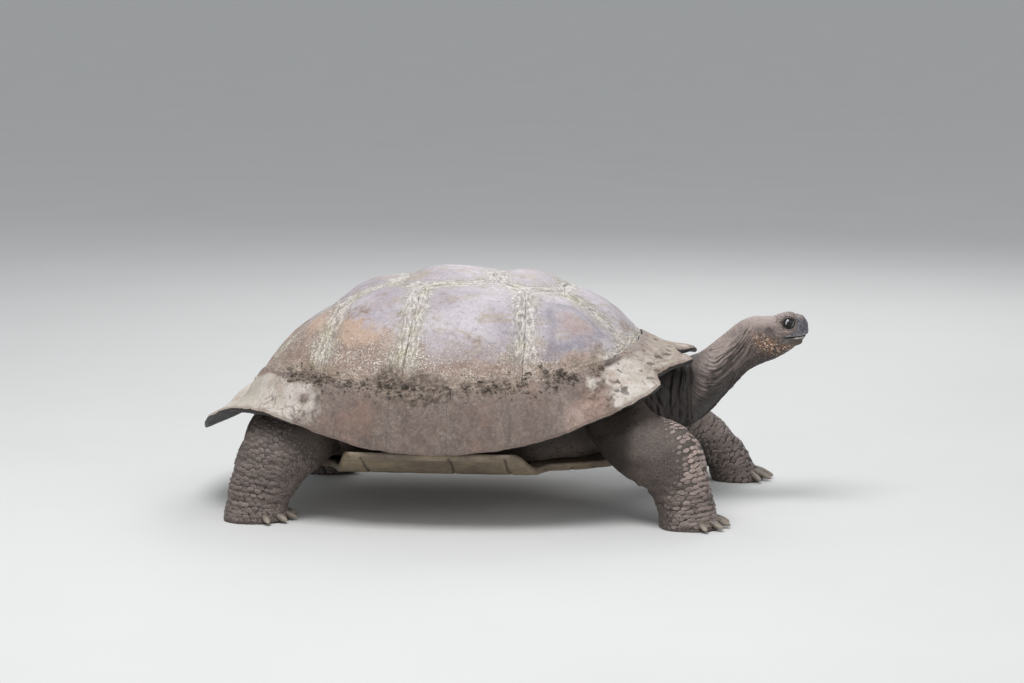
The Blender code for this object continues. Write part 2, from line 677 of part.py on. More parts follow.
neck, head, jaw = neck_and_head()
boolean(neck, "DIFFERENCE", trunk_cutter)
boolean(head, "DIFFERENCE", mouth_block("mouth_cutter", CUT))
boolean(jaw, "INTERSECT", mouth_block("jaw_block", 0.0))
for side_name, side_sign in (("right", -1), ("left", 1)):
    x, y, z = EYE_CENTRE
    ball(f"eye_{side_name}", EYE_RADIUS, (x, side_sign * y, z), "eye", parts)
    socket = ball(f"socket_{side_name}", EYE_RADIUS + CUT, (x, side_sign * y, z), "eye", cutters)
    boolean(head, "DIFFERENCE", socket)

for leg_entry in LEGS:
    leg(*leg_entry)
tail()

for cutter in cutters.objects:
    cutter.hide_render = True
    cutter.display_type = "WIRE"
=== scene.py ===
"""The looks of a giant tortoise: its shell plates, skin, scales, beak, eyes, claws and dried mud.

Metres, +Z up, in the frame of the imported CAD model: the tortoise faces +X and its left
side is +Y. As in the CAD source, forms are laid out from the middle of the shell, and
dress shifts them into the frame. Every noise is fixed by its seed.
"""

import itertools
import math

import bmesh
import bpy
import numpy as np
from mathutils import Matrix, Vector
from mathutils.bvhtree import BVHTree


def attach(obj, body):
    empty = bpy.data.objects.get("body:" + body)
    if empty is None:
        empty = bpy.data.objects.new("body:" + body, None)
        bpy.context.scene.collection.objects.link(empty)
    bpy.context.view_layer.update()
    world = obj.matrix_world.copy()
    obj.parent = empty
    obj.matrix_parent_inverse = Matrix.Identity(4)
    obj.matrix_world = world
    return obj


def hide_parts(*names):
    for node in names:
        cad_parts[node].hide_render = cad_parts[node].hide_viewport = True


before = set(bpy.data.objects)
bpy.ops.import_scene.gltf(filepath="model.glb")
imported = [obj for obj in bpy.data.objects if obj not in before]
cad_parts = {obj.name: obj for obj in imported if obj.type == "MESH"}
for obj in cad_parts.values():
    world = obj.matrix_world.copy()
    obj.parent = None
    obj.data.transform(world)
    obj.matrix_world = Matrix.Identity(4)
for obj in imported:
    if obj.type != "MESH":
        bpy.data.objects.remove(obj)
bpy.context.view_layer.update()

# The CAD source's driving dimensions.
SHELL_HALF_LENGTH = 0.55
SHELL_HALF_WIDTH = 0.405
RIM_POWER = 0.87
SNOUT_X = 0.7833
SHIFT = np.array([-(SNOUT_X - SHELL_HALF_LENGTH) / 2, 0.0, 0.0])

PROFILE_T = (0.0, 0.2, 0.4, 0.6, 0.8, 0.9, 1.0)
FRONT_X = (0.0, 0.110, 0.220, 0.325, 0.420, 0.480, 0.550)
FRONT_Z = (0.511, 0.507, 0.493, 0.445, 0.374, 0.344, 0.335)
REAR_X = (0.0, 0.105, 0.205, 0.304, 0.416, 0.463, 0.550)
REAR_Z = (0.511, 0.496, 0.468, 0.401, 0.290, 0.208, 0.163)
SIDE_Y = (0.0, 0.100, 0.195, 0.295, 0.380, 0.398, 0.405)
SIDE_Z = (0.511, 0.503, 0.481, 0.424, 0.300, 0.235, 0.165)
FRONT_ARCH, REAR_ARCH = 0.012, 0.078

SEAM_T = 0.8
GAP_HALF = 0.00015
PLATE_DEPTH, RIM_DEPTH = 0.018, 0.011
NOTCH, NOTCH_DEGREES = 0.075, 7.5
SET_BACK_DEGREES = (11.0, 18.0, 28.5, 32.5)
SET_BACK = (0.0, 0.038, 0.055, 0.0)
VERTEBRAL_SEAMS = ((0.46, 0.20), (0.17, 0.22), (-0.177, 0.22), (-0.515, 0.20))
VERTEBRAL_CORNERS = ((0.27, 0.30), (-0.05, 0.30), (-0.34, 0.28))
VERTEBRAL_FRONT, VERTEBRAL_REAR = 22.0, 150.0
COSTAL_SEAMS = (71.0, 95.0, 116.0)
MARGINAL_SEAMS = (0.0, 15.0, 30.0, 44.3, 61.7, 75.0, 87.4, 97.2, 114.5, 132.0, 148.0, 164.0)
ARC_STEP, SIDE_CHORD = 0.42, 0.0060  # finer than in the CAD source

# Relief of a plate, by the share of the way from its edge to its middle.
RELIEF_SHARE = (0.0, 0.3, 0.65, 1.0)
PLATE_RELIEF = {
    "vertebral": (-0.006, 0.0, 0.0055, 0.008),
    "costal": (-0.006, -0.0012, 0.0030, 0.0045),
    "marginal": (-0.0010, 0.0008, 0.0018, 0.0020),
}
RIDGE = 0.0050  # from one growth ring to the next
RIDGE_HEIGHT = 0.0015
SEAM_WANDER = 0.0090  # in disc units
AREOLA_SHARE = 0.48
RING_BAND = 0.042  # how far the growth rings reach in from a seam
FINE_DEPTHS = (0.0, 0.0005, 0.0014)  # the first rings of points inside a plate's edge
RING_STEP, MIDDLE_STEP = 0.0014, 0.0030
WALL_SHARES = (0.12, 0.35, 0.65, 0.9)
INNER_SHARES = (1.0, 0.9, 0.75, 0.5, 0.25)
ROLL = 0.0032  # how far the rolled rim stands out


def ease(share):
    """0 up to share 0, 1 from share 1, and smooth between."""
    share = np.clip(share, 0.0, 1.0)
    return share * share * (3 - 2 * share)


def bell(value, middle, width):
    """1 at the middle, and next to nothing from twice the width away."""
    return np.exp(-(((value - middle) / width) ** 2))


def curve_through(knots, values, at, level_start=False):
    """A cubic curve through values at knots, which never swings past them."""
    knots, values, at = np.asarray(knots, float), np.asarray(values, float), np.asarray(at, float)
    step = np.diff(knots)
    rise = np.diff(values) / step
    slope = np.concatenate([rise[:1], (rise[:-1] + rise[1:]) / 2, rise[-1:]])
    slope[1:-1][rise[:-1] * rise[1:] <= 0] = 0.0
    if level_start:
        slope[0] = 0.0
    i = np.clip(np.searchsorted(knots, at, side="right") - 1, 0, len(step) - 1)
    u = (at - knots[i]) / step[i]
    v = 1 - u
    ends = values[i] * (1 + 2 * u) * v * v + values[i + 1] * u * u * (3 - 2 * u)
    return ends + step[i] * u * v * (slope[i] * v - slope[i + 1] * u)


# Noise over points in space.


def hashed(cells, seed):
    """A steady share from 0 to 1 for each whole-numbered cell."""
    mixed = np.asarray(cells).astype(np.int64) @ np.array([73856093, 19349663, 83492791])
    mixed = ((mixed + seed * 974711) ^ (mixed >> 15)) * 2246822519 & 0xFFFFFFFF
    mixed = (mixed ^ (mixed >> 13)) * 3266489917 & 0xFFFFFFFF
    return ((mixed ^ (mixed >> 16)) & 0xFFFFFF) / 0xFFFFFF


def noise(points, size, seed=0):
    """Smooth noise from -1 to 1, with lumps of about this size."""
    at = np.asarray(points) / size
    base = np.floor(at)
    part = ease(at - base)
    total = 0.0
    for corner in np.ndindex(2, 2, 2):
        weight = np.prod(np.where(corner, part, 1 - part), axis=-1)
        total = total + weight * hashed(base + corner, seed)
    return 2 * total - 1


def rough(points, size, seed=0, octaves=3):
    """Noise with finer noise on it."""
    layers = [noise(points, size / 2**k, seed + k) / 2**k for k in range(octaves)]
    return sum(layers) / (2 - 2 ** (1 - octaves))


def cracks(points, size, seed=0):
    """Distance to the edge between two cells, in cell sizes, and each cell's own share."""
    at = np.asarray(points) / size
    base = np.floor(at)
    nearest = np.full(at.shape[:-1], 9.0)
    second, own = nearest.copy(), np.zeros_like(nearest)
    for offset in np.ndindex(3, 3, 3):
        cell = base + offset - 1
        centre = cell + np.stack([hashed(cell, seed + axis) for axis in (1, 2, 3)], axis=-1)
        away = np.linalg.norm(centre - at, axis=-1)
        closer = away < nearest
        second = np.where(closer, nearest, np.minimum(second, away))
        own = np.where(closer, hashed(cell, seed + 4), own)
        nearest = np.where(closer, away, nearest)
    return second - nearest, own


# Shell forms, as in the CAD source.


def dome(p, q):
    """The carapace's surface over the point (p, q) of the disc."""
    p, q = np.asarray(p, float), np.asarray(q, float)
    t = np.maximum(np.hypot(p, q), 1e-9)
    c, s = p / t, q / t
    along, across = c * c, s * s
    fore = c >= 0
    x_share = np.where(fore, curve_through(PROFILE_T, FRONT_X, t), curve_through(PROFILE_T, REAR_X, t))
    share = along * x_share / SHELL_HALF_LENGTH
    share += across * curve_through(PROFILE_T, SIDE_Y, t) / SHELL_HALF_WIDTH
    x = np.sign(c) * SHELL_HALF_LENGTH * np.abs(c) ** RIM_POWER * share
    y = np.sign(s) * SHELL_HALF_WIDTH * np.abs(s) ** RIM_POWER * share
    front_z, rear_z, side_z = (
        curve_through(PROFILE_T, heights, t, level_start=True) for heights in (FRONT_Z, REAR_Z, SIDE_Z)
    )
    z = along * np.where(fore, front_z, rear_z) + across * side_z
    arch = np.where(fore, FRONT_ARCH, REAR_ARCH) * 4 * along * across
    return np.stack([x, y, z + arch * t**6], axis=-1)


def dome_normal(p, q):
    """The direction out of the dome over the point (p, q) of the disc."""
    h = 1e-3
    along = dome(p + h, q) - dome(p - h, q)
    across = dome(p, q + h) - dome(p, q - h)
    return unit(np.cross(along, across))


def unit(vectors):
    return vectors / np.linalg.norm(vectors, axis=-1, keepdims=True)


def rim_t(degrees):
    """The rim, with its notch over the neck and its first two plates set back from the third."""
    degrees = np.asarray(degrees, float)
    return 1.0 - NOTCH * bell(degrees, 0.0, NOTCH_DEGREES) - np.interp(degrees, SET_BACK_DEGREES, SET_BACK)


def ring_place(disc):
    """Each disc point's share of the way to the rim, and its degrees back from the nose's side."""
    return np.hypot(*disc.T), np.degrees(np.arctan2(np.abs(disc[:, 1]), disc[:, 0]))


def on_ring(t, degrees):
    a = math.radians(degrees)
    return (t * math.cos(a), -t * math.sin(a))


def ring_angles():
    """Every seam's angle, with more between them, so that plates share their chords."""
    seams = sorted({*COSTAL_SEAMS, *MARGINAL_SEAMS, VERTEBRAL_FRONT, VERTEBRAL_REAR, 180.0})
    angles = []
    for a, b in zip(seams, seams[1:]):
        n = max(1, math.ceil((b - a) / ARC_STEP))
        angles += [a + (b - a) * i / n for i in range(n)]
    return [*angles, 180.0]


RING_ANGLES = ring_angles()


def straight(a, b):
    """Points from a to b, the last left out."""
    n = max(1, math.ceil(math.dist(a, b) / SIDE_CHORD))
    return [(a[0] + (b[0] - a[0]) * i / n, a[1] + (b[1] - a[1]) * i / n) for i in range(n)]


def arc(t, start, end):
    """Points on the ring t from one angle to the other, the last left out."""
    between = [a for a in RING_ANGLES if min(start, end) <= a <= max(start, end)]
    between = between if end > start else between[::-1]
    return [on_ring(t(a) if callable(t) else t, a) for a in between[:-1]]


def mirrored(points):
    return [(p, -q) for p, q in reversed(points)]


def inset(outline, by):
    """The outline, whose inside is on its left, with every edge moved inward."""
    points = np.array(outline)
    edge = unit(np.roll(points, -1, axis=0) - points)
    inward = np.stack([-edge[:, 1], edge[:, 0]], axis=1)
    before = np.roll(inward, 1, axis=0)
    corner = inward + before
    corner /= 1 + (inward * before).sum(axis=1, keepdims=True)
    return points + corner * by


def area(outline):
    points = np.array(outline)
    after = np.roll(points, -1, axis=0)
    return (points[:, 0] * after[:, 1] - after[:, 0] * points[:, 1]).sum() / 2


def plate_outlines():
    """Name and outline of every plate of the carapace."""
    seams = [(p, -q) for p, q in VERTEBRAL_SEAMS]
    corners = [(p, -q) for p, q in VERTEBRAL_CORNERS]
    front, rear = on_ring(SEAM_T, VERTEBRAL_FRONT), on_ring(SEAM_T, VERTEBRAL_REAR)
    for i in range(5):
        if i == 0:
            half = arc(SEAM_T, 0.0, VERTEBRAL_FRONT) + straight(front, seams[0]) + [seams[0]]
        elif i == 4:
            half = straight(seams[3], rear) + arc(SEAM_T, VERTEBRAL_REAR, 180.0) + [on_ring(SEAM_T, 180.0)]
        else:
            half = straight(seams[i - 1], corners[i - 1]) + straight(corners[i - 1], seams[i]) + [seams[i]]
        other = [point for point in mirrored(half) if abs(point[1]) > 1e-9]
        yield f"vertebral_{i + 1}", half + other
    lows = [VERTEBRAL_FRONT, *COSTAL_SEAMS, VERTEBRAL_REAR]
    tops = [front, seams[0], corners[0], seams[1], corners[1], seams[2], corners[2], seams[3], rear]
    for i in range(4):
        chain = tops[2 * i : 2 * i + 3]
        if i > 0:
            chain = [on_ring(SEAM_T, lows[i]), *chain]
        if i < 3:
            chain = [*chain, on_ring(SEAM_T, lows[i + 1])]
        outline = [point for a, b in zip(chain, chain[1:]) for point in straight(a, b)]
        outline += arc(SEAM_T, lows[i + 1], lows[i])
        yield f"costal_right_{i + 1}", outline
        yield f"costal_left_{i + 1}", mirrored(outline)
    for i, (a, b) in enumerate(zip(MARGINAL_SEAMS, MARGINAL_SEAMS[1:])):
        outline = arc(SEAM_T, a, b) + straight(on_ring(SEAM_T, b), on_ring(rim_t(b), b))
        outline += arc(rim_t, b, a) + straight(on_ring(rim_t(a), a), on_ring(SEAM_T, a))
        yield f"marginal_right_{i + 1}", outline
        yield f"marginal_left_{i + 1}", mirrored(outline)
    last = MARGINAL_SEAMS[-1]
    half = arc(SEAM_T, 180.0, last) + straight(on_ring(SEAM_T, last), on_ring(1.0, last))
    half += arc(rim_t, last, 180.0) + [on_ring(1.0, 180.0)]
    yield "supracaudal", half + mirrored(half[1:-1])


# Pieces.


def read_points(mesh):
    points = np.empty(len(mesh.vertices) * 3, np.float32)
    mesh.vertices.foreach_get("co", points)
    return points.reshape(-1, 3).astype(float)


def write_points(mesh, points):
    mesh.vertices.foreach_set("co", points.astype(np.float32).ravel())
    mesh.update()


def normals_of(mesh):
    normals = np.empty(len(mesh.vertices) * 3, np.float32)
    mesh.vertex_normals.foreach_get("vector", normals)
    return normals.reshape(-1, 3).astype(float)


def mesh_of(name, points, faces):
    mesh = bpy.data.meshes.new(name)
    mesh.from_pydata(np.asarray(points, float).tolist(), [], faces)
    return mesh


def dress(mesh, name, finish, nodes=(), fields=None):
    """Makes a mesh, laid out from mid-shell, a piece that rides on the one body."""
    write_points(mesh, read_points(mesh) + SHIFT)
    for field, values in (fields or {}).items():
        layer = mesh.attributes.new(field, "FLOAT", "POINT")
        layer.data.foreach_set("value", np.asarray(values, np.float32))
    mesh.shade_smooth()
    mesh.materials.clear()
    mesh.materials.append(finish)
    obj = bpy.data.objects.new(name, mesh)
    bpy.context.scene.collection.objects.link(obj)
    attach(obj, "root")
    if nodes:
        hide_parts(*nodes)
    return obj


def band_faces(first, second, n):
    """Quads between two closed rows of n points that start at these indices."""
    return [(first + i, first + (i + 1) % n, second + (i + 1) % n, second + i) for i in range(n)]


def fan_faces(ring, centre, n):
    return [(ring + i, ring + (i + 1) % n, centre) for i in range(n)]


def tube_faces(rows, n):
    """Quads between every two neighbouring rows of n points."""
    return [face for k in range(rows - 1) for face in band_faces(k * n, (k + 1) * n, n)]


def capped_faces(rows, n):
    """A tube's quads, and fans to the two points that follow its rows."""
    return tube_faces(rows, n) + fan_faces(0, rows * n, n) + fan_faces((rows - 1) * n, rows * n + 1, n)


def nearest_gap(points, line):
    """Distance from each point to the nearest of the line's points."""
    if len(line) == 0:
        return np.full(len(points), 1.0)
    gaps = (points**2).sum(axis=1)[:, None] - 2 * points @ line.T + (line**2).sum(axis=1)
    return np.sqrt(np.maximum(gaps.min(axis=1), 0.0))


def wandered(disc):
    """The disc's points moved a little, so that the seams waver; the rim stays in place."""
    at = np.concatenate([disc, 0 * disc[:, :1]], axis=1)
    t, back = ring_place(disc)
    free = ease((rim_t(back) - t) / 0.07)
    sway = np.stack([rough(at, 0.08, 16, 4), rough(at, 0.08, 17, 4)], axis=1)
    return disc + SEAM_WANDER * free[:, None] * sway


def mud_on_shell(place, t, back):
    """Height of the dried mud, and the shares of pale film, dark crust, and open crack with the painted
    shadow under the mud's front edge.
    """
    patches = rough(place, 0.060, 31)
    gap, own = cracks(place + 0.005 * rough(place, 0.02, 33)[:, None], 0.0125, 34)
    clods = ease(gap / 0.4) * (0.35 + own) + 0.35 * rough(place, 0.006, 35)

    # The row of dark clods on the seam over the marginals, and the rough mud on the front ones.
    side = ease((back - 40) / 14) * ease((154 - back) / 12)
    clump = ease(1.5 * noise(place * (1, 1, 0.3), 0.075, 47) + 0.55)
    row = bell(t + 0.014 * patches, 0.790, 0.030 + 0.022 * clump) * side * (0.35 + 0.65 * clump)
    crust = np.clip(row * (1.35 + 1.3 * rough(place, 0.035, 32)), 0, 1)
    crust = np.maximum(crust, 0.8 * row) * (1 - 0.65 * ease((back - 116) / 12))
    crust *= 1 - ease((back - 132) / 10)
    rough_front = bell(back, 51, 9) * ease((t - 0.85) / 0.04)
    crust = np.maximum(crust, 0.8 * rough_front * ease(1.6 * rough(place, 0.022, 27) + 0.35))
    crust *= 0.75 + 0.45 * noise(place, 0.11, 28)

    # The pale film on the flared plates at the front and rear, with its cracks and holes.
    front = ease((t - 0.79 + 0.02 * patches) / 0.07) * ease((55 + 8 * patches - back) / 10)
    rear = ease((t - 0.800 + 0.02 * patches) / 0.04) * ease((back - 110 + 8 * patches) / 14)
    edge = 1 - np.abs(2 * np.clip(front + rear, 0, 1) - 1)
    film = ease(front + rear + 0.30 * patches * edge)
    wide_gap, _ = cracks(place + 0.010 * rough(place, 0.03, 36)[:, None], 0.038, 37)
    crack_and_shadow = 0.8 * film * (1 - ease(wide_gap / 0.06)) * ease(2.2 * noise(place, 0.06, 38) - 0.35)
    holes = film * ease((rough(place, 0.016, 39, 4) - 0.20) / 0.10) * ease(2.0 * noise(place, 0.05, 40) + 0.2)
    # A groove at the front, sunk and painted dark as the shadow under the mud's edge.
    flap_shadow = bell(back, 41, 3.5) * bell(t, 0.812, 0.011)
    crack_and_shadow = np.maximum.reduce([crack_and_shadow, holes * ease((80 - back) / 20), 1.2 * flap_shadow])

    thick = film * (0.0020 + 0.0026 * rough(place, 0.045, 43) + 0.0006 * rough(place, 0.012, 44))
    thick *= ease((t - 0.795) / 0.07)
    lumpy = ease(1.8 * noise(place, 0.06, 29) + 0.1)
    thick += 0.0034 * lumpy * np.maximum(4 * film * (1 - film), 0.6 * film) * clods
    thick += crust * (0.0010 + 0.0052 * clods * np.clip(own * 1.6, 0, 1))
    return np.maximum(thick, 0.0) - 0.0022 * crack_and_shadow, film, crust, crack_and_shadow


# The height, along x, above which the plates turn lilac: partly the horn's own grey, partly a painted sheen.
LILAC_EDGE_X = (-0.56, -0.20, -0.07, 0.02, 0.20, 0.42, 0.56)
LILAC_EDGE_Z = (0.475, 0.440, 0.425, 0.372, 0.362, 0.388, 0.392)


def worn_zones(name, kind, place, share, t, back):
    """The shares of each kind of worn horn: lilac (partly a painted sheen), rusty, ringed, dusty, low, the
    core, and tan.
    """
    x, _, z = place.T
    foremost = name.startswith("costal") and name.endswith("_1")
    costal_or_vertebral = kind != "marginal"
    edge = curve_through(LILAC_EDGE_X, LILAC_EDGE_Z, x)
    lilac = ease((z - edge) / 0.095 + 0.5 + 0.65 * rough(place * (1, 1, 1.5), 0.06, 18))
    if kind == "vertebral":
        lilac = np.maximum(lilac, ease((z - 0.37 - 0.09 * ease((x - 0.30) / 0.08)) / 0.06))
    rust = bell(z - edge, -0.035, 0.035) * (0.25 + 0.75 * ease((-0.04 - x) / 0.05))
    rust = rust * (0.65 + 0.8 * noise(place, 0.05, 19)) + 0.7 * ease(1.6 * noise(place, 0.07, 20) - 0.35)
    ringed = bell(share + 0.07 * noise(place, 0.06, 25), AREOLA_SHARE, 0.095)
    ringed *= (0.55 + 0.75 * noise(place, 0.045, 24)) * (1.0 if foremost else 0.15 * costal_or_vertebral)
    dusty = bell(t, 0.735, 0.060) * ease((back - 52) / 14) * costal_or_vertebral
    low = ease((t - 0.70 + 0.03 * noise(place, 0.05, 48)) / 0.07) * ease((back - 36) / 10)
    blot = noise(place, 0.05, 49)
    core = ease((0.34 - share + 0.10 * blot) / 0.12) * foremost
    if kind == "marginal":
        core = ease((t - 0.88) / 0.05) * ease((69 - back) / 14) * ease(1.6 * blot + 0.75)
    return {
        "lilac": lilac,
        "rust": np.clip(rust, 0, 1),
        "areola": np.clip(ringed, 0, 1),
        "dusty": dusty,
        "low": low * costal_or_vertebral,
        "core": core,
        "tan": ease((34 - back + 14 * rough(place, 0.05, 30)) / 14),
    }


def plate_relief(share, seam, place, kind):
    """Height over the dome, and how far up a broken growth ridge each point lies."""
    marginal = kind == "marginal"
    height = curve_through(RELIEF_SHARE, PLATE_RELIEF[kind], 1 - share)
    lines = (seam + 0.0065 * rough(place, 0.024, 11)) / RIDGE
    x, y, z = place.T
    grain = np.stack([1.6 * lines, (x - y) / 0.0105, z / 0.0105], axis=1)
    band = 1 - ease((seam - 0.006 + 0.010 * noise(place, 0.04, 13)) / RING_BAND)
    ridge = np.clip(0.52 + 1.05 * noise(grain, 1.0, 12) + 0.14 * np.cos(2 * math.pi * lines), 0, 1)
    height += RIDGE_HEIGHT * band * (ridge - 0.4) * (0.25 if marginal else 1.0)
    height += 0.0012 * noise(place, 0.055, 14) + 0.0003 * noise(place, 0.017, 15)
    height += 0.0011 * ease((0.42 - z) / 0.05) * (0.15 if marginal else 1.0) * rough(place, 0.009, 23, 2)
    dip = 0.0003 if marginal else 0.0007
    return height - dip * (1 - ease(seam / 0.0016)), ridge * band


def depth_at(t):
    """A plate's thickness, which falls from the seams to the rim."""
    return PLATE_DEPTH - (PLATE_DEPTH - RIM_DEPTH) * ease((t - SEAM_T) / (1 - SEAM_T))


def ring_shares(reach):
    """Shares of the way from a plate's middle to its edge for its rings of points, outermost first."""
    depths = np.array([*FINE_DEPTHS, *np.arange(0.0026, RING_BAND + 0.004, RING_STEP)])
    depths = np.concatenate([depths, np.arange(RING_BAND + 0.004, reach * 0.97, MIDDLE_STEP)])
    return (1 - depths / reach)[depths < reach * 0.98]


def plate_rims(edge, line, kind):
    """Which points of a plate's edge are on the rim, and finer points on its seams and on its rim."""
    t, back = ring_place(edge)
    at_rim = (t > rim_t(back) - 0.004) & (kind == "marginal")
    fine = np.concatenate([line + (np.roll(line, -1, axis=0) - line) * k / 4 for k in range(4)])
    fine_rim = np.tile(at_rim & np.roll(at_rim, -1), 4)
    return at_rim, fine[~fine_rim], fine[fine_rim]


def wall_rows(outer_edge, inner_edge, line, at_rim):
    """Rows of points down a plate's wall, which bulges where it is the rolled rim."""
    outward = line * (1, 1, 0) / np.linalg.norm(line[:, :2], axis=1)[:, None]
    rolled = np.where(at_rim, ROLL * (1 + 0.35 * noise(line, 0.03, 21)), 0.0)
    for part in WALL_SHARES:
        row = outer_edge + (inner_edge - outer_edge) * part
        yield row + outward * (rolled * math.sin(part * math.pi))[:, None]


def inner_rows(edge, middle):
    """Rows of points in along a plate's inner face."""
    for part in INNER_SHARES:
        spot = wandered(middle + (edge - middle) * part)
        row = dome(*spot.T)
        deep = depth_at(np.hypot(*spot.T)) + 0.0008 * rough(row, 0.02, 22)
        yield row - dome_normal(*spot.T) * deep[:, None]


def shell_plate(name, outline, finish):
    """One plate: fine rings outside, a wall at its seams with a rolled rim, a plain inner face."""
    kind = name.split("_")[0].replace("supracaudal", "marginal")
    outline = outline if area(outline) > 0 else outline[::-1]
    around = zip(outline, outline[1:] + outline[:1])
    edge = inset([point for a, b in around for point in straight(a, b)], GAP_HALF)
    middle, n = edge.mean(axis=0), len(edge)
    edge_here = wandered(edge)
    line = dome(*edge_here.T)
    at_rim, seam_line, rim_line = plate_rims(edge, line, kind)
    shares = ring_shares(np.linalg.norm(line - dome(*middle), axis=1).mean())
    disc = middle + (edge - middle) * shares[:, None, None]
    disc = wandered(np.concatenate([disc.reshape(-1, 2), middle[None]]))
    share = np.concatenate([np.repeat(shares, n), [0.0]])
    t, back = ring_place(disc)
    place = dome(*disc.T)
    seam, rim = nearest_gap(place, seam_line), nearest_gap(place, rim_line)
    height, ridge = plate_relief(share, seam, place, kind)
    mud, film, crust, crack_and_shadow = mud_on_shell(place, t, back)
    height += mud - 0.0030 * (1 - ease(rim / 0.008)) ** 2
    outer = place + dome_normal(*disc.T) * height[:, None]

    inner_edge = line - dome_normal(*edge_here.T) * depth_at(np.hypot(*edge.T))[:, None]
    wall, inner = [*wall_rows(outer[:n], inner_edge, line, at_rim)], [*inner_rows(edge, middle)]
    points = np.concatenate([outer, *wall, *inner, inner[-1].mean(axis=0)[None]])
    starts = [0, *range(len(outer), len(points) - 1, n)]
    faces = tube_faces(len(shares), n) + fan_faces((len(shares) - 1) * n, len(shares) * n, n)
    for last, first in zip(starts, starts[1:]):
        faces += band_faces(first, last, n)
    faces += [face[::-1] for face in fan_faces(starts[-1], len(points) - 1, n)]

    painted = {"ridge": ridge, "film": film, "crust": crust, "crack_and_shadow": crack_and_shadow}
    painted |= worn_zones(name, kind, place, share, t, back)
    hidden = np.zeros(len(points) - len(outer))
    fields = {field: np.concatenate([values, hidden]) for field, values in painted.items()}
    # The plates' hidden faces, which the finish paints near black as shade.
    fields["under"] = np.concatenate([np.zeros(len(outer)), hidden + 1])
    inner_rims = [nearest_gap(row, rim_line) for row in inner]
    fields["seam"] = np.concatenate([seam, *[seam[:n]] * len(wall), np.full(len(inner) * n + 1, 0.02)])
    fields["rim"] = np.concatenate([rim, *[rim[:n]] * len(wall), *inner_rims, [0.1]])
    ragged = ease(1 - fields["rim"] / 0.04) * (fields["rim"] < 0.09)
    points[:, 2] += 0.0040 * ragged * rough(points * (1, 1, 0), 0.035, 26)
    dress(mesh_of(f"{name}_scute", points, faces), f"{name}_scute", finish, (name,), fields)


# Flesh forms, as in the CAD source but finer.

TRUNK_DEPTH = 0.0280
TRUNK_RINGS = (0.25, 0.5, 0.7, 0.82, 0.91, 1.0)
TRUNK_WALL = (0.2, 0.35, 0.55, 0.75, 0.9)
TRUNK_FLOOR = 0.1215
TRUNK_FRONT_T, TRUNK_SIDE_T = 0.79, 0.93
TRUNK_BOTTOM_X, TRUNK_BOTTOM_Y = 0.355, 0.232
TRUNK_SWELL = 0.018
TRUNK_SIDES = 96
OPENING_FRONT, OPENING_REAR, OPENING_BLEND = 50.0, 130.0, 16.0  # degrees

# Along the neck and head: x, height, half-width and half-height.
NECK_KEYS = (
    (0.380, 0.228, 0.120, 0.105),
    (0.450, 0.235, 0.108, 0.093),
    (0.515, 0.250, 0.088, 0.074),
    (0.572, 0.286, 0.066, 0.054),
    (0.6235, 0.3325, 0.053, 0.047),
    (0.665, 0.3595, 0.052, 0.0518),
)
HEAD_KEYS = (
    (0.695, 0.3675, 0.051, 0.0482),
    (0.720, 0.3760, 0.048, 0.0424),
    (0.740, 0.3859, 0.0445, 0.0388),
    (0.757, 0.3880, 0.037, 0.0350),
    (0.770, 0.3907, 0.028, 0.0268),
    (0.779, 0.3907, 0.016, 0.0163),
)
HEAD_POWER, LIMB_POWER = 2.6, 2.2
# Down a limb, on the left: x, y, height, and its radius along and across.
RIGHT_FORELEG = (
    (0.370, 0.170, 0.215, 0.068, 0.066),
    (0.424, 0.215, 0.168, 0.072, 0.068),
    (0.484, 0.252, 0.140, 0.080, 0.070),
    (0.512, 0.266, 0.100, 0.066, 0.064),
    (0.530, 0.274, 0.050, 0.060, 0.060),
    (0.540, 0.278, 0.000, 0.066, 0.066),
)
LEFT_FORELEG = (
    (0.370, 0.170, 0.215, 0.068, 0.066),
    (0.420, 0.220, 0.182, 0.068, 0.068),
    (0.480, 0.256, 0.138, 0.066, 0.066),
    (0.545, 0.274, 0.094, 0.058, 0.060),
    (0.598, 0.282, 0.052, 0.048, 0.056),
    (0.626, 0.286, 0.000, 0.060, 0.062),
)
RIGHT_HIND_LEG = (
    (-0.260, 0.180, 0.212, 0.082, 0.070),
    (-0.300, 0.228, 0.182, 0.084, 0.074),
    (-0.345, 0.262, 0.138, 0.078, 0.072),
    (-0.372, 0.280, 0.088, 0.070, 0.068),
    (-0.385, 0.288, 0.042, 0.064, 0.064),
    (-0.390, 0.290, 0.000, 0.070, 0.068),
)
LEFT_HIND_LEG = (
    (-0.260, 0.180, 0.212, 0.080, 0.070),
    (-0.285, 0.230, 0.182, 0.080, 0.074),
    (-0.306, 0.264, 0.140, 0.074, 0.070),
    (-0.318, 0.282, 0.090, 0.068, 0.066),
    (-0.326, 0.290, 0.042, 0.063, 0.062),
    (-0.329, 0.292, 0.000, 0.070, 0.068),
)
TAIL_KEYS = (
    (-0.350, 0.000, 0.205, 0.042, 0.046),
    (-0.400, -0.006, 0.180, 0.034, 0.038),
    (-0.435, -0.014, 0.147, 0.025, 0.028),
    (-0.454, -0.020, 0.112, 0.016, 0.017),
    (-0.460, -0.022, 0.082, 0.006, 0.006),
)
# Name, keys, side, number of claws, the way the foot points in degrees.
LEGS = (
    ("foreleg_right", RIGHT_FORELEG, -1, 5, -8.0),
    ("foreleg_left", LEFT_FORELEG, 1, 5, 6.0),
    ("hind_leg_right", RIGHT_HIND_LEG, -1, 4, -20.0),
    ("hind_leg_left", LEFT_HIND_LEG, 1, 4, 16.0),
)
FLESH = ("trunk", "neck", "head", "lower_jaw", "tail", "foreleg", "hind_leg")
SKIN_VOXEL = 0.0024
SKIN_TRIANGLES = 590000  # left of the skin when its flatter stretches are thinned out
STATIONS, RING_POINTS = 160, 72
NOSE_RINGS = ((1.04, 0.7775), (0.92, 0.7800), (0.72, 0.7820), (0.45, 0.7830), (0.2, SNOUT_X))


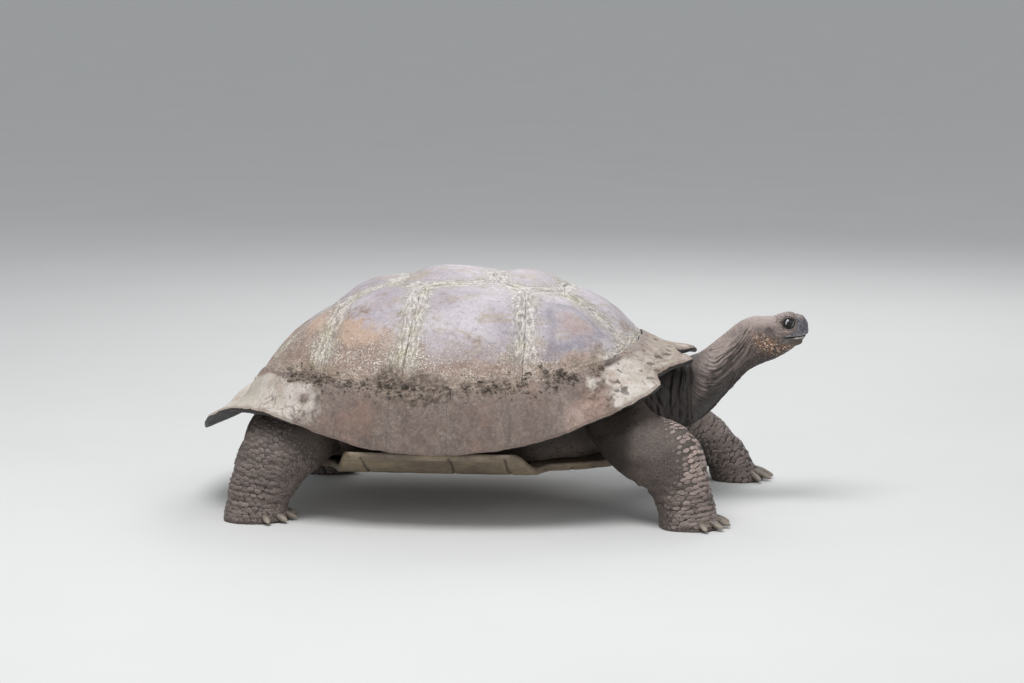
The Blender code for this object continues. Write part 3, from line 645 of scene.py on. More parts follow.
class Tube:
    """A bent limb: at each station a centre, two cross directions, two radii and a power."""

    def __init__(self, centre, side, up, half_side, half_up, power):
        self.centre, self.side, self.up = centre, side, up
        self.half_side, self.half_up, self.power = half_side, half_up, power
        steps = np.linalg.norm(np.diff(centre, axis=0), axis=1)
        self.length = np.concatenate([[0.0], np.cumsum(steps)])

    def surface(self, station, angle):
        """Points on the tube at whole-numbered stations and angles counted from side to up."""
        c, s = np.cos(angle), np.sin(angle)
        power = 2 / self.power[station]
        u = np.sign(c) * np.abs(c) ** power * self.half_side[station]
        v = np.sign(s) * np.abs(s) ** power * self.half_up[station]
        return self.centre[station] + self.side[station] * u[..., None] + self.up[station] * v[..., None]

    def end_ring(self, n):
        return self.surface(np.full(n, STATIONS - 1), 2 * math.pi * np.arange(n) / n)

    def solid(self):
        angle = 2 * math.pi * np.arange(RING_POINTS) / RING_POINTS
        station, around = np.meshgrid(np.arange(STATIONS), angle, indexing="ij")
        points = self.surface(station, around).reshape(-1, 3)
        return np.concatenate([points, self.centre[[0, -1]]]), capped_faces(STATIONS, RING_POINTS)

    def locate(self, points):
        """Nearest station, angle, and distance from the centre in radii, for each point."""
        gaps = (self.centre**2).sum(axis=1) - 2 * points @ self.centre.T
        station = gaps.argmin(axis=1)
        away = points - self.centre[station]
        u = (away * self.side[station]).sum(axis=1) / self.half_side[station]
        v = (away * self.up[station]).sum(axis=1) / self.half_up[station]
        along = np.abs((away * np.cross(self.side[station], self.up[station])).sum(axis=1))
        return station, np.arctan2(v, u), np.hypot(u, v) + along / self.half_up[station]


def key_columns(keys, at):
    return [curve_through(range(len(keys)), column, at) for column in zip(*keys)]


def neck_tube():
    keys = NECK_KEYS + HEAD_KEYS
    joint, end = len(NECK_KEYS) - 1, len(keys) - 1
    at = np.linspace(0.0, end, STATIONS)
    x, z, half_width, half_height = key_columns(keys, at)
    ahead = key_columns(keys, np.minimum(at + 0.05, end))
    behind = key_columns(keys, np.maximum(at - 0.05, 0))
    zero = np.zeros(STATIONS)
    along = unit(np.stack([ahead[0] - behind[0], zero, ahead[1] - behind[1]], axis=1))
    up = np.stack([-along[:, 2], zero, along[:, 0]], axis=1)
    power = 2.0 + (HEAD_POWER - 2.0) * ease((at - joint + 1) / 1.5)
    side = np.tile([0.0, 1.0, 0.0], (STATIONS, 1))
    return Tube(np.stack([x, zero, z], axis=1), side, up, half_width, half_height, power)


def limb_tube(keys, side, level_end=True):
    last = len(keys) - 1
    at = np.linspace(0.0, last, STATIONS)
    x, y, z, along_radius, side_radius = key_columns(keys, at)
    ahead = key_columns(keys, np.minimum(at + 0.1, last))
    behind = key_columns(keys, np.maximum(at - 0.1, 0))
    down = unit(np.stack([a - b for a, b in zip(ahead[:3], behind[:3])], axis=1))
    level = (ease((at - last + 2) / 2) if level_end else 0 * at)[:, None]
    down = unit(down * (1 - level) + np.array([0.0, 0.0, -1.0]) * level)
    fore = unit(np.array([1.0, 0.0, 0.0]) - down * down[:, :1])
    flip = np.array([1.0, side, 1.0])
    centre, across = np.stack([x, y, z], axis=1) * flip, np.cross(down, fore) * flip
    return Tube(centre, fore * flip, across, along_radius, side_radius, np.full(STATIONS, LIMB_POWER))


NECK = neck_tube()
LIMBS = {name: limb_tube(keys, side) for name, keys, side, _, _ in LEGS}
LIMBS["tail"] = limb_tube(TAIL_KEYS, 1.0, level_end=False)


def trunk_solid():
    """Flesh that fills the shell, walled by skin at the front and rear openings."""
    n = TRUNK_SIDES
    angle = (np.arange(n) + 0.5) * 2 * math.pi / n
    c, s = np.cos(angle), np.sin(angle)
    back = np.degrees(np.arccos(c))
    side = ease((back - OPENING_FRONT) / OPENING_BLEND) * ease((OPENING_REAR - back) / OPENING_BLEND)
    reach = TRUNK_FRONT_T + (TRUNK_SIDE_T - TRUNK_FRONT_T) * side

    def under(p, q):
        return dome(p, q) - dome_normal(p, q) * TRUNK_DEPTH

    rows = [under(reach * share * c, reach * share * s) for share in TRUNK_RINGS]
    top = rows[-1]
    bottom_x = np.sign(c) * TRUNK_BOTTOM_X * np.abs(c) ** RIM_POWER
    bottom_y = np.sign(s) * TRUNK_BOTTOM_Y * np.abs(s) ** RIM_POWER
    bottom = np.stack([bottom_x, bottom_y, np.full(n, TRUNK_FLOOR)], axis=1)
    out = np.stack([c, s, np.zeros(n)], axis=1)
    for share in TRUNK_WALL:
        swell = (TRUNK_SWELL * (1 - side) * math.sin(share * math.pi))[:, None]
        rows.append(top + (bottom - top) * share + out * swell)
    rows.append(bottom)
    points = np.concatenate([*rows, under(1e-6, 0.0)[None], [(0.0, 0.0, TRUNK_FLOOR)]])
    return points, capped_faces(len(rows), n)


def nose_solid():
    """The rounded end of the snout, before the last ring of the head."""
    nose = NECK.end_ring(RING_POINTS)
    tip = np.array([SNOUT_X, 0.0, HEAD_KEYS[-1][1]])
    rows = [tip + (nose - tip) * share for share, _ in NOSE_RINGS]
    for row, (_, x) in zip(rows, NOSE_RINGS):
        row[:, 0] = x
    points = np.concatenate([*rows, [rows[0].mean(axis=0), rows[-1].mean(axis=0)]])
    return points, capped_faces(len(rows), RING_POINTS)


def outward_mesh(name, points, faces):
    """A mesh whose faces all look outward."""
    mesh = mesh_of(name, points, faces)
    bm = bmesh.new()
    bm.from_mesh(mesh)
    bmesh.ops.recalc_face_normals(bm, faces=bm.faces)
    bm.to_mesh(mesh)
    bm.free()
    return mesh


def fused(solids, voxel):
    """One closed mesh round all these closed solids."""
    points, faces, count = [], [], 0
    for solid_points, solid_faces in solids:
        mesh = outward_mesh("solid", solid_points, solid_faces)
        faces += [tuple(i + count for i in polygon.vertices) for polygon in mesh.polygons]
        points.append(solid_points)
        count += len(solid_points)
        bpy.data.meshes.remove(mesh)
    obj = bpy.data.objects.new("flesh", mesh_of("flesh", np.concatenate(points), faces))
    bpy.context.scene.collection.objects.link(obj)
    made = modified(obj, "REMESH", mode="VOXEL", voxel_size=voxel)
    bpy.data.objects.remove(obj)
    return made


def modified(obj, kind, **settings):
    """The object's mesh as this one modifier makes it."""
    modifier = obj.modifiers.new(kind.lower(), kind)
    for key, setting in settings.items():
        setattr(modifier, key, setting)
    made = bpy.data.meshes.new_from_object(obj.evaluated_get(bpy.context.evaluated_depsgraph_get()))
    obj.modifiers.clear()
    return made


def thin_out(obj, triangles):
    """Leaves the piece about this many triangles, most where its shape bends, none under the floor."""
    before = sum(len(polygon.vertices) - 2 for polygon in obj.data.polygons)
    obj.data = modified(obj, "DECIMATE", ratio=triangles / before)
    points = read_points(obj.data)
    points[:, 2] = np.maximum(points[:, 2], 0.0)
    write_points(obj.data, points)
    obj.data.shade_smooth()


def drop_and_refine(mesh, hidden, levels):
    """Deletes the faces whose points are all hidden, then halves the faces that each level picks."""
    bm = bmesh.new()
    bm.from_mesh(mesh)
    unseen = hidden(np.array([v.co for v in bm.verts]))
    gone = [face for face in bm.faces if all(unseen[v.index] for v in face.verts)]
    bmesh.ops.delete(bm, geom=gone, context="FACES")
    for level in levels:
        bm.verts.index_update()
        picked = level(np.array([v.co for v in bm.verts]))
        faces = [face for face in bm.faces if any(picked[v.index] for v in face.verts)]
        edges = list({edge for face in faces for edge in face.edges})
        bmesh.ops.subdivide_edges(bm, edges=edges, cuts=1, use_grid_fill=True)
    bm.to_mesh(mesh)
    bm.free()


def smoothed(points, edges, rounds, share=0.5):
    """Points moved towards the middle of their neighbours, without shrinking much."""
    near, far = edges.T
    count = np.bincount(edges.ravel(), minlength=len(points))[:, None]
    for turn in range(rounds):
        total = np.stack(
            [
                np.bincount(near, points[far, axis], len(points))
                + np.bincount(far, points[near, axis], len(points))
                for axis in range(3)
            ],
            axis=1,
        )
        step = share if turn % 2 == 0 else -share * 1.03
        points = points + (total / np.maximum(count, 1) - points) * step
    return points


# Features of the head, in the CAD source's coordinates; each is mirrored to the other side.
EYE_CENTRE = np.array([0.7415, 0.0283, 0.4048])
EYE_RADIUS = 0.0135
SNOUT_SMOOTH_X = 0.762
EYE_AXIS = unit(np.array([0.06, 1.0, 0.13]))
EYE_HALF_LENGTH, EYE_HALF_HEIGHT = 0.0103, 0.0095
NOSTRIL = np.array([0.7765, 0.0105, 0.4085])
NOSTRIL_RADIUS, NOSTRIL_DEPTH = 0.0021, 0.0042
MOUTH_X = (0.7320, 0.7600, 0.7815)
MOUTH_Z = (0.3750, 0.3766, 0.3782)
LIPS_ABOVE = -0.0006  # from the line above to where the lips meet
TYMPANUM = np.array([0.6990, 0.048, 0.3868])
TYMPANUM_SIZE = np.array([0.0095, 0.012, 0.0085])
# Broad forms: middle, radius and height of each swelling or hollow.
HEAD_FORMS = (
    ((0.7430, 0.0340, 0.4200), 0.0130, 0.0016),
    ((0.7000, 0.0500, 0.3600), 0.0220, 0.0030),
    ((0.7210, 0.0470, 0.3930), 0.0120, -0.0014),
    ((0.7590, 0.0340, 0.3900), 0.0090, -0.0012),
    ((0.7080, 0.0000, 0.4190), 0.0160, -0.0010),
    ((0.6650, 0.0480, 0.3500), 0.0200, 0.0022),
    ((0.7710, 0.0000, 0.4150), 0.0130, 0.0014),
    ((0.7390, 0.0000, 0.4270), 0.0150, -0.0034),
    ((0.7580, 0.0000, 0.4230), 0.0075, 0.0026),
    ((0.7770, 0.0000, 0.3670), 0.0090, -0.0030),
    ((0.6740, 0.0500, 0.3930), 0.0130, -0.0014),
    ((0.7290, 0.0300, 0.4190), 0.0080, 0.0010),
)
WRINKLE_X, WRINKLE_SLOPE, WRINKLE_BEND, WRINKLE_STEP = 0.575, 1.55, 0.045, 0.0043


def mouth_z(x):
    return curve_through(MOUTH_X, MOUTH_Z, np.clip(x, MOUTH_X[0], MOUTH_X[-1]))


def over_lips(points):
    """Height over the line where the lips meet."""
    return points[:, 2] - mouth_z(points[:, 0]) - LIPS_ABOVE


def mirror_y(points):
    """The points folded onto the left side, where the head's features are laid out."""
    return points * (1, 0, 1) + np.abs(points[:, 1:2]) * (0, 1, 0)


def from_ear(points):
    """Distance from the eardrum's middle, in eardrums."""
    return np.linalg.norm((mirror_y(points) - TYMPANUM) / TYMPANUM_SIZE, axis=1)


def rusty_at(x, z):
    """The shares of the rusty scales of the cheek and of the jaw."""
    cheek = bell(x, 0.697, 0.030) * bell(z - 0.3585 + 0.45 * (x - 0.70), 0.0, 0.015)
    return np.maximum(cheek, bell(x, 0.746, 0.026) * bell(z, 0.3520, 0.0075))


def wants_fine(points):
    """The neck and head, and the legs where they show, which get a finer mesh."""
    _, _, away = NECK.locate(points)
    wanted = (points[:, 0] > 0.485) & (away < 1.35) & (np.abs(points[:, 1]) < 0.11)
    for tube in LIMBS.values():
        station, _, away = tube.locate(points)
        wanted |= (away < 1.2) & (station > STATIONS * 0.28) & (points[:, 2] > 0.004)
    return wanted


def wants_finest(points):
    """The eyes, nostrils and mouth."""
    folded = mirror_y(points)
    eye = np.linalg.norm(folded - EYE_CENTRE, axis=1) < 0.024
    nostril = np.linalg.norm(folded - NOSTRIL, axis=1) < 0.0065
    mouth = (np.abs(points[:, 2] - mouth_z(points[:, 0]) + 0.001) < 0.009) & (points[:, 0] > 0.727)
    return eye | nostril | mouth


def under_shell(points):
    """The top of the trunk, which the plates hide."""
    t = np.hypot(points[:, 0] / SHELL_HALF_LENGTH, points[:, 1] / SHELL_HALF_WIDTH)
    return (t < 0.66) & (points[:, 2] > 0.21)


def find_zones(points):
    """How much each point belongs to the neck, nape, head and legs, from 0 to 1."""
    station, _, away = NECK.locate(points)
    on_neck = ease((1.45 - away) / 0.25) * ease((points[:, 0] - 0.40) / 0.05)
    on_neck *= ease((0.125 - np.abs(points[:, 1])) / 0.02)
    head = on_neck * ease((points[:, 0] - 0.660) / 0.022)
    lift = (points[:, 2] - NECK.centre[:, 2][station]) / NECK.half_up[station]
    leg = np.max([ease((1.35 - tube.locate(points)[2]) / 0.25) for tube in LIMBS.values()], axis=0)
    return {
        "head": head,
        "neck": on_neck - head,
        "nape": on_neck * ease((lift - 0.45) / 0.40),
        "leg": leg * (1 - on_neck),
    }


def broad_forms(points, zones):
    """Swellings, hollows and loose folds, in metres along the normal."""
    folded = mirror_y(points)
    x, y, z = points.T
    height = np.zeros(len(points))
    for middle, radius, rise in HEAD_FORMS:
        height += rise * np.exp(-(((folded - middle) ** 2).sum(axis=1)) / radius**2)
    throat = zones["neck"] * ease((0.33 - z + 0.9 * (x - 0.60)) / 0.10)
    folds = np.stack([y / 0.014, x / 0.10, z / 0.10], axis=1) + 0.5 * noise(points, 0.05, 41)[:, None]
    height += 0.0042 * throat * (0.5 - ease(np.abs(noise(folds, 1.0, 45)) / 0.45))
    drapes = np.stack([x / 0.011, y / 0.05, z / 0.07], axis=1) + 0.5 * noise(points, 0.05, 46)[:, None]
    base = zones["neck"] * ease((0.555 - x) / 0.05)
    height += 0.0040 * base * (ease(np.abs(noise(drapes, 1.0, 47)) / 0.45) - 0.6)
    wall = 1 - np.clip(zones["neck"] + zones["head"] + 0.7 * zones["leg"], 0, 1)
    height += 0.0035 * wall * noise(points * (1.0, 1.0, 2.4), 0.05, 42)
    height += 0.0026 * zones["leg"] * noise(points * (0.7, 0.7, 1.6), 0.034, 43)
    sag = ease((0.12 - z) / 0.05) * ease((z - 0.02) / 0.03) * zones["leg"]
    return height + 0.0014 * sag * np.cos(2 * math.pi * (z / 0.017 + 0.8 * noise(points, 0.06, 44)))


def blend(a, b, share):
    return a * (1 - share) + b * share


def creases(across, along, second, seed):
    """Creases that run along one way, join and fade: 0 in a crease, 1 between them."""
    return ease(np.abs(noise(np.stack([across, along, second], axis=1), 1.0, seed)) / 0.34)


def neck_relief(points, warp, nape):
    """Wrinkles that sweep up and back round the neck, hang at its base and cross its nape."""
    x, y, z = points.T
    bend = WRINKLE_SLOPE * np.sqrt((x - WRINKLE_X) ** 2 + WRINKLE_BEND**2)
    across = (z - bend) / WRINKLE_STEP + 2.0 * warp
    wide = creases(across, x / 0.042, y / 0.042, 52)
    narrow = creases(across * 1.5 + 5, x / 0.018 + warp, y / 0.018, 53)
    cross = creases(x / 0.011 + z / 0.011, across * 0.35, y / 0.02, 59)
    cell = ease(cracks(points, 0.0042, 54)[0] / 0.3)
    swept = 0.52 * wide + 0.34 * narrow + 0.06 * cross + 0.08 * cell
    upright = creases(x / 0.0048 + 1.2 * warp, z / 0.050, y / 0.02, 60)
    swept = blend(swept, 0.7 * upright + 0.3 * narrow, ease((0.555 - x) / 0.04))
    over = creases((0.87 * x + 0.5 * z) / 0.0046 + 1.4 * warp, y / 0.030, z / 0.06, 67)
    finer = creases((0.87 * x + 0.5 * z) / 0.0028 + 1.0 * warp, y / 0.014, z / 0.03, 68)
    return blend(swept, 0.25 + 0.75 * (0.45 * over + 0.30 * finer + 0.25 * cell), nape)


def head_relief(points, warp):
    """Fine skin with plates on the brow, and the share of those plates."""
    x, y, z = points.T
    plate = cracks(points + 0.001 * rough(points, 0.006, 61)[:, None], 0.0068, 55)[0]
    small = cracks(points * (1, 1, 1.2), 0.0036, 56)[0]
    plates = ease((z - 0.401) / 0.004) * ease((x - 0.709) / 0.004) * ease((0.764 - x) / 0.006)
    crown = ease((z - 0.402 + 0.25 * (0.74 - x)) / 0.010)
    lines = creases(z / 0.0055 + 0.9 * warp + 0.3 * x / 0.0055, x / 0.02, y / 0.012, 62)
    raised = blend(0.55 * ease(small / 0.28) + 0.45 * lines, 0.7 + 0.3 * lines, crown)
    raised = blend(raised, ease(plate / 0.28), plates)
    snout = ease((x - 0.757) / 0.010) * ease((z - mouth_z(x)) / 0.004)
    return blend(raised, 0.55 + 0.25 * ease(small / 0.25) + 0.2 * ease(plate / 0.10), snout), plates


def fine_relief(points, zones):
    """Height of wrinkles and small scales, and their share: 0 in the creases, 1 on the ridges."""
    neck, head, leg = zones["neck"], zones["head"], zones["leg"]
    warp = rough(points, 0.045, 51)
    on_head, plates = head_relief(points, warp)
    leg_gap, leg_own = cracks(points, 0.0050, 57)
    low = ease((0.10 - points[:, 2]) / 0.05)
    on_leg = blend(ease(leg_gap / 0.30), ease(cracks(points, 0.0105, 63)[0] / 0.24), low)
    rest = 1 - np.clip(neck + head + leg, 0, 1)
    on_rest = ease(cracks(points * (1, 1, 1.5), 0.0085, 58)[0] / 0.25)
    raised = neck * neck_relief(points, warp, zones["nape"]) + head * on_head + leg * on_leg + rest * on_rest
    ear = from_ear(points) + 0.30 * rough(points, 0.006, 64)
    raised = blend(raised, 0.5, 0.6 * ease((1.2 - ear) / 0.6))
    depth = 0.0017 * neck + head * (0.0008 + 0.0004 * plates) + 0.0009 * rest + leg * (0.0008 + 0.0005 * low)
    height = depth * (raised - 0.6) * (1 + 0.4 * (leg_own - 0.5) * leg)
    return height - head * 0.0011 * ease((1.2 - ear) / 0.8), raised


def shape_eyelids(points):
    """Opens a socket behind each eyeball and lays thick lids on it."""
    for side in (-1, 1):
        flip = np.array([1, side, 1])
        axis = EYE_AXIS * flip
        fore = unit(np.array([1.0, 0.0, 0.0]) - axis * axis[0])
        high = np.cross(axis, fore) * side
        high = high if high[2] > 0 else -high
        away = points - EYE_CENTRE * flip
        a, b, c = away @ axis, away @ fore, away @ high
        out = np.sqrt((b / EYE_HALF_LENGTH) ** 2 + (c / EYE_HALF_HEIGHT) ** 2)
        ring = np.maximum(np.hypot(b, c), 1e-6)
        ball = np.sqrt(np.maximum(EYE_RADIUS**2 - np.minimum(ring, 0.0121) ** 2, 0.0))
        upper = ease(c / EYE_HALF_HEIGHT + 0.3)
        lid = ball + 0.0007 + (0.0009 + 0.0008 * upper) * bell(out, 1.15, 0.10)
        lid += 0.0007 * bell(out, 1.62, 0.12) - 0.0012 * bell(out, 1.40, 0.07)
        lid = np.where(out < 1.06, blend(ball + 0.0009, ball - 0.0030, ease((1.06 - out) / 0.06)), lid)
        share = ease((2.30 - out) / 0.95) * (a > -0.004)
        points = points + axis * ((lid - a) * share)[:, None]
    return points


def open_mouth(points):
    """Draws the line of the mouth inward, and sinks the nostrils."""
    x, _, z = points.T
    slit = ease((x - MOUTH_X[0] + 0.001) / 0.006) * np.exp(-(((over_lips(points) + 0.0008) / 0.0016) ** 4))
    middle = np.stack([np.minimum(x, 0.752), 0 * x, z], axis=1)
    inward = unit(middle - points + 1e-9)
    room = np.linalg.norm(middle - points, axis=1)
    points = points + inward * (slit * np.minimum(0.0075, 0.6 * room))[:, None]
    for side in (-1, 1):
        hole = NOSTRIL * (1, side, 1)
        share = ease((NOSTRIL_RADIUS - np.linalg.norm(points - hole, axis=1)) / 0.0012 + 0.5)
        points = points + unit(np.array([-1.0, -0.35 * side, -0.25])) * (NOSTRIL_DEPTH * share)[:, None]
    return points


def shaded_hide(points, normals, zones, vary, rusty):
    """Painted shade: where the hide is darkened because light seldom reaches it."""
    x, y, z = points.T
    neck, head, leg = zones["neck"], zones["head"], zones["leg"]
    under = NECK.centre[:, 2][NECK.locate(points)[0]] - z
    on_jaw = ease((x - 0.725) / 0.01) * ease((mouth_z(x) - z) / 0.003)
    ear = from_ear(points) + 0.45 * vary + 0.30 * rough(points, 0.005, 66)
    brow = bell(x, 0.676, 0.018) * bell(z, 0.3935, 0.0055)
    armpit = ease((0.430 - x) / 0.03) * ease((x - 0.25) / 0.03) * ease((z - 0.09) / 0.05)
    first = (
        (neck + head * 0.9) * ease((under - 0.004 + 0.012 * vary) / 0.028),
        neck * ease((0.575 - x + 0.01 * vary) / 0.06),
        0.8 * ease((0.56 - x) / 0.04) * ease((z - 0.13) / 0.05) * (1 - leg),
        0.55 * head * on_jaw,
    )
    second = (
        np.maximum.reduce(first) * (1 - 0.8 * rusty),
        0.72 * head * ease((1.7 - ear) / 1.1),
        0.55 * head * brow,
        (neck + head) * ease((0.745 - x) / 0.02) * ease((-normals[:, 2] - 0.25) / 0.35),
        0.75 * leg * ease(y / 0.1),
        0.85 * leg * armpit,
    )
    return np.maximum.reduce(second)


def colour_zones(points, normals, zones):
    """Where the hide has painted light on top, painted shade, rusty, slate, or a lid, from 0 to 1."""
    x, _, z = points.T
    folded = mirror_y(points)
    head, both = zones["head"], zones["neck"] + zones["head"]
    vary = rough(points, 0.022, 65)
    # Painted light: paler where the skin of the neck and head faces up.
    top = both * ease(normals[:, 2] * 1.4 - 0.15 + 0.30 * vary) * ease((x - 0.52) / 0.07)
    rusty = head * np.clip(1.25 * rusty_at(x, z) + 0.25 * vary, 0, 1)
    crown = ease((z - 0.4150 + 0.5 * (x - 0.755)) / 0.007) * ease((0.779 - x) / 0.006)
    slate = ease((x - 0.7515 + 0.006 * vary) / 0.015) * ease((z - 0.3775) / 0.005)
    ahead, high = folded[:, 0] - EYE_CENTRE[0], z - EYE_CENTRE[2]
    out = np.hypot(ahead / EYE_HALF_LENGTH, high / EYE_HALF_HEIGHT)
    slit = np.exp(-(((over_lips(points) + 0.0009) / 0.0022) ** 4))
    return {
        "top": top * (1 - 0.55 * ease((x - 0.725) / 0.02)),
        "shade": shaded_hide(points, normals, zones, vary, rusty),
        "rusty": rusty,
        "slate": head * slate * (1 - 0.75 * crown),
        "lid": head * ease((1.42 - out) / 0.16) * (folded[:, 1] > 0.018),
        "green": head * bell(x, 0.7370, 0.010) * bell(z, 0.3670, 0.0045),
        "mouth": head * ease((x - MOUTH_X[0] + 0.003) / 0.005) * slit,
        "corner": ease((0.750 - x) / 0.010),
    }


def make_skin():
    """The mesh of one skin over all the flesh, with its relief, and its points and fields."""
    solids = [trunk_solid(), NECK.solid(), *(tube.solid() for tube in LIMBS.values()), nose_solid()]
    mesh = fused(solids, SKIN_VOXEL)
    drop_and_refine(mesh, under_shell, (wants_fine, wants_finest))
    edges = np.empty(len(mesh.edges) * 2, np.int32)
    mesh.edges.foreach_get("vertices", edges)
    edges = edges.reshape(-1, 2)
    points = smoothed(read_points(mesh), edges, 16)
    snout = ease((points[:, :1] - SNOUT_SMOOTH_X) / 0.008)
    points = blend(points, smoothed(points, edges, 60), snout)
    zones = find_zones(points)
    write_points(mesh, points)
    points = points + normals_of(mesh) * broad_forms(points, zones)[:, None]
    write_points(mesh, points)
    height, raised = fine_relief(points, zones)
    points = open_mouth(shape_eyelids(points + normals_of(mesh) * height[:, None]))
    points[:, 2] = np.maximum(points[:, 2], 0.0)
    write_points(mesh, points)
    return mesh, points, {"raised": raised, **zones, **colour_zones(points, normals_of(mesh), zones)}


# Eyes, beak and claws.

GAZE = unit(np.array([0.20, 1.0, 0.02]))
GLINT = unit(np.array([-0.92, 0.0, 0.38]))  # the side of the eye where its painted highlight is broad
CORNEA_ANGLE, CORNEA_RISE = 0.62, 0.0006
EYE_SIDES = 64
# The angles from the gaze at which the eyeball's rings lie.
EYE_POLAR = np.concatenate([np.linspace(0.03, 1.3, 44), np.linspace(1.36, math.pi - 0.05, 18)])


def make_eye(name, side, finish):
    """An eyeball whose rings are laid round its gaze; the field polar is the angle from it."""
    polar, n = EYE_POLAR, EYE_SIDES
    around = 2 * math.pi * np.arange(n) / n
    gaze, centre = GAZE * (1, side, 1), EYE_CENTRE * (1, side, 1)
    first = unit(np.cross(gaze, (0.0, 0.0, 1.0)))
    second = np.cross(gaze, first)
    radius = EYE_RADIUS + CORNEA_RISE * ease((CORNEA_ANGLE - polar) / 0.25)
    flat = (radius * np.sin(polar))[:, None, None]
    points = flat * (np.cos(around)[:, None] * first + np.sin(around)[:, None] * second)
    points = (points + (radius * np.cos(polar))[:, None, None] * gaze).reshape(-1, 3) + centre
    ends = centre + gaze * np.array([[EYE_RADIUS + CORNEA_RISE], [-EYE_RADIUS]])
    points = np.concatenate([points, ends])
    faces = [face[::-1] for face in capped_faces(len(polar), n)]
    faces[-n:] = [face[::-1] for face in faces[-n:]]
    fields = {
        "polar": np.concatenate([np.repeat(polar, n), [0.0, math.pi]]),
        "lit": ((points - centre) @ GLINT) / EYE_RADIUS,
    }
    mesh = mesh_of(f"eyeball_{name}", points, faces)
    dress(mesh, f"eyeball_{name}", finish, (f"eye_{name}",), fields)


BEAK_TOP_REACH, BEAK_LOW_REACH = 0.0125, 0.0095
BEAK_BACK = 0.7335
BEAK_THICK = 0.0011


def beak_masks(points):
    """How far inside the upper and the lower sheath each point lies, at most 1."""
    above = over_lips(points)
    ahead = points[:, 0] - BEAK_BACK - 0.0012 * noise(points, 0.006, 61)
    top = 0.0035 + (BEAK_TOP_REACH - 0.0035) * ease(ahead / 0.036)
    low = 0.0030 + (BEAK_LOW_REACH - 0.0030) * ease(ahead / 0.030)
    upper = np.minimum.reduce([(top - above) / 0.0030, (above - 0.0003) / 0.0006, ahead / 0.004])
    lower = np.minimum.reduce([(low + above) / 0.0030, (-0.0023 - above) / 0.0006, ahead / 0.004])
    return np.clip(upper, -1, 1), np.clip(lower, -1, 1)


def make_beak(mesh, points, normals, finish):
    """Horn sheaths over the jaws, raised from the skin that they grow on."""
    corners = points[np.array([polygon.vertices[:3] for polygon in mesh.polygons])]
    near = (corners.min(axis=1)[:, 0] > BEAK_BACK - 0.003) & (corners.max(axis=1)[:, 2] < 0.40)
    chosen = [tuple(mesh.polygons[int(i)].vertices) for i in np.flatnonzero(near)]
    for name, node, mask in zip(("beak_upper", "beak_lower"), ("head", "lower_jaw"), beak_masks(points)):
        faces = [face for face in chosen if min(mask[i] for i in face) > -0.25]
        used = np.unique([i for face in faces for i in face])
        index = {int(old): new for new, old in enumerate(used)}
        place, mask = points[used], mask[used]
        from_lips = np.abs(over_lips(place))
        thick = BEAK_THICK * ease(mask * 1.6) - 0.0004 * (mask < 0.05)
        serrated = 0.0003 * ease((0.004 - from_lips) / 0.003) * np.cos(2 * math.pi * place[:, 0] / 0.0019)
        place = place + normals[used] * (thick + serrated * (mask > 0.2))[:, None]
        fields = {
            "lip": from_lips,
            "upper": np.full(len(used), float(node == "head")),
            "fore": ease((place[:, 0] - 0.7510) / 0.005) * ease((0.7760 - place[:, 0]) / 0.003),
        }
        made = mesh_of(name, place, [tuple(index[i] for i in face) for face in faces])
        dress(made, name, finish, (node,), fields)


CLAW_LENGTH, CLAW_RADIUS, CLAW_TIP = 0.036, 0.0112, 0.0034
CLAW_STEP, CLAW_PITCH = 28.0, 0.2
CLAW_ROOT = 0.42  # the share of a claw that its toe covers
CLAW_SIDES, CLAW_RINGS = 28, 22


def claw_frames(tube, count, heading):
    """Direction, middle and size of each claw round a sole, as in the CAD source."""
    ring = tube.end_ring(36)
    centre = ring.mean(axis=0)
    for k in range(count):
        from_middle = k - (count - 1) / 2
        fan = math.radians(heading + CLAW_STEP * from_middle)
        out = np.array([math.cos(fan), math.sin(fan), 0.0])
        reach = ((ring - centre) @ out).max() - CLAW_ROOT * CLAW_LENGTH
        middle = centre + out * (reach + CLAW_LENGTH / 2)
        middle[2] = CLAW_RADIUS + 0.003
        yield out, middle, 1.0 - 0.10 * abs(from_middle)


def claw_rings(out, middle, big):
    """Rings of points along one claw, from its root to its tip, and their shares of the way."""
    side, up = np.cross((0.0, 0.0, 1.0), out), np.array([0, 0, 1.0])
    angle = 2 * math.pi * np.arange(CLAW_SIDES) / CLAW_SIDES
    for share in np.linspace(0.0, 1.0, CLAW_RINGS):
        reach = (share - 0.5) * CLAW_LENGTH * 1.04
        taper = (1 - share**2.2) ** 0.5 if share < 0.995 else 0.05
        width = (CLAW_TIP * 0.4 + (CLAW_RADIUS - CLAW_TIP * 0.4) * taper) * big
        tall = width * (0.86 - 0.12 * share)
        centre = middle + out * reach - up * (CLAW_PITCH * reach + 0.0035 * share**2)
        centre[2] = max(centre[2], tall * 0.98)
        grooved = 1 + 0.02 * np.cos(9 * angle) * share
        ring = centre + side * (width * np.cos(angle) * grooved)[:, None]
        ring = ring + up * (tall * np.sin(angle) * grooved)[:, None]
        yield ring + out * (0.0005 * noise(ring, 0.004, 62))[:, None], share


def make_claws(name, foot, tube, count, heading, finish):
    """Thick blunt nails, curved down to the floor."""
    each = CLAW_SIDES * CLAW_RINGS + 2
    points, tips = [], []
    for claw in claw_frames(tube, count, heading):
        rings, shares = zip(*claw_rings(*claw))
        points += [*rings, np.array([rings[0].mean(axis=0), rings[-1].mean(axis=0)])]
        tips += [*np.repeat(shares, CLAW_SIDES), 0.0, 1.0]
    one = capped_faces(CLAW_RINGS, CLAW_SIDES)
    faces = [tuple(i + k * each for i in face) for k in range(count) for face in one]
    points = np.concatenate(points)
    points[:, 2] = np.maximum(points[:, 2], 0.0)
    dress(outward_mesh(name, points, faces), name, finish, (foot,), {"tip": tips})


# The belly plate.

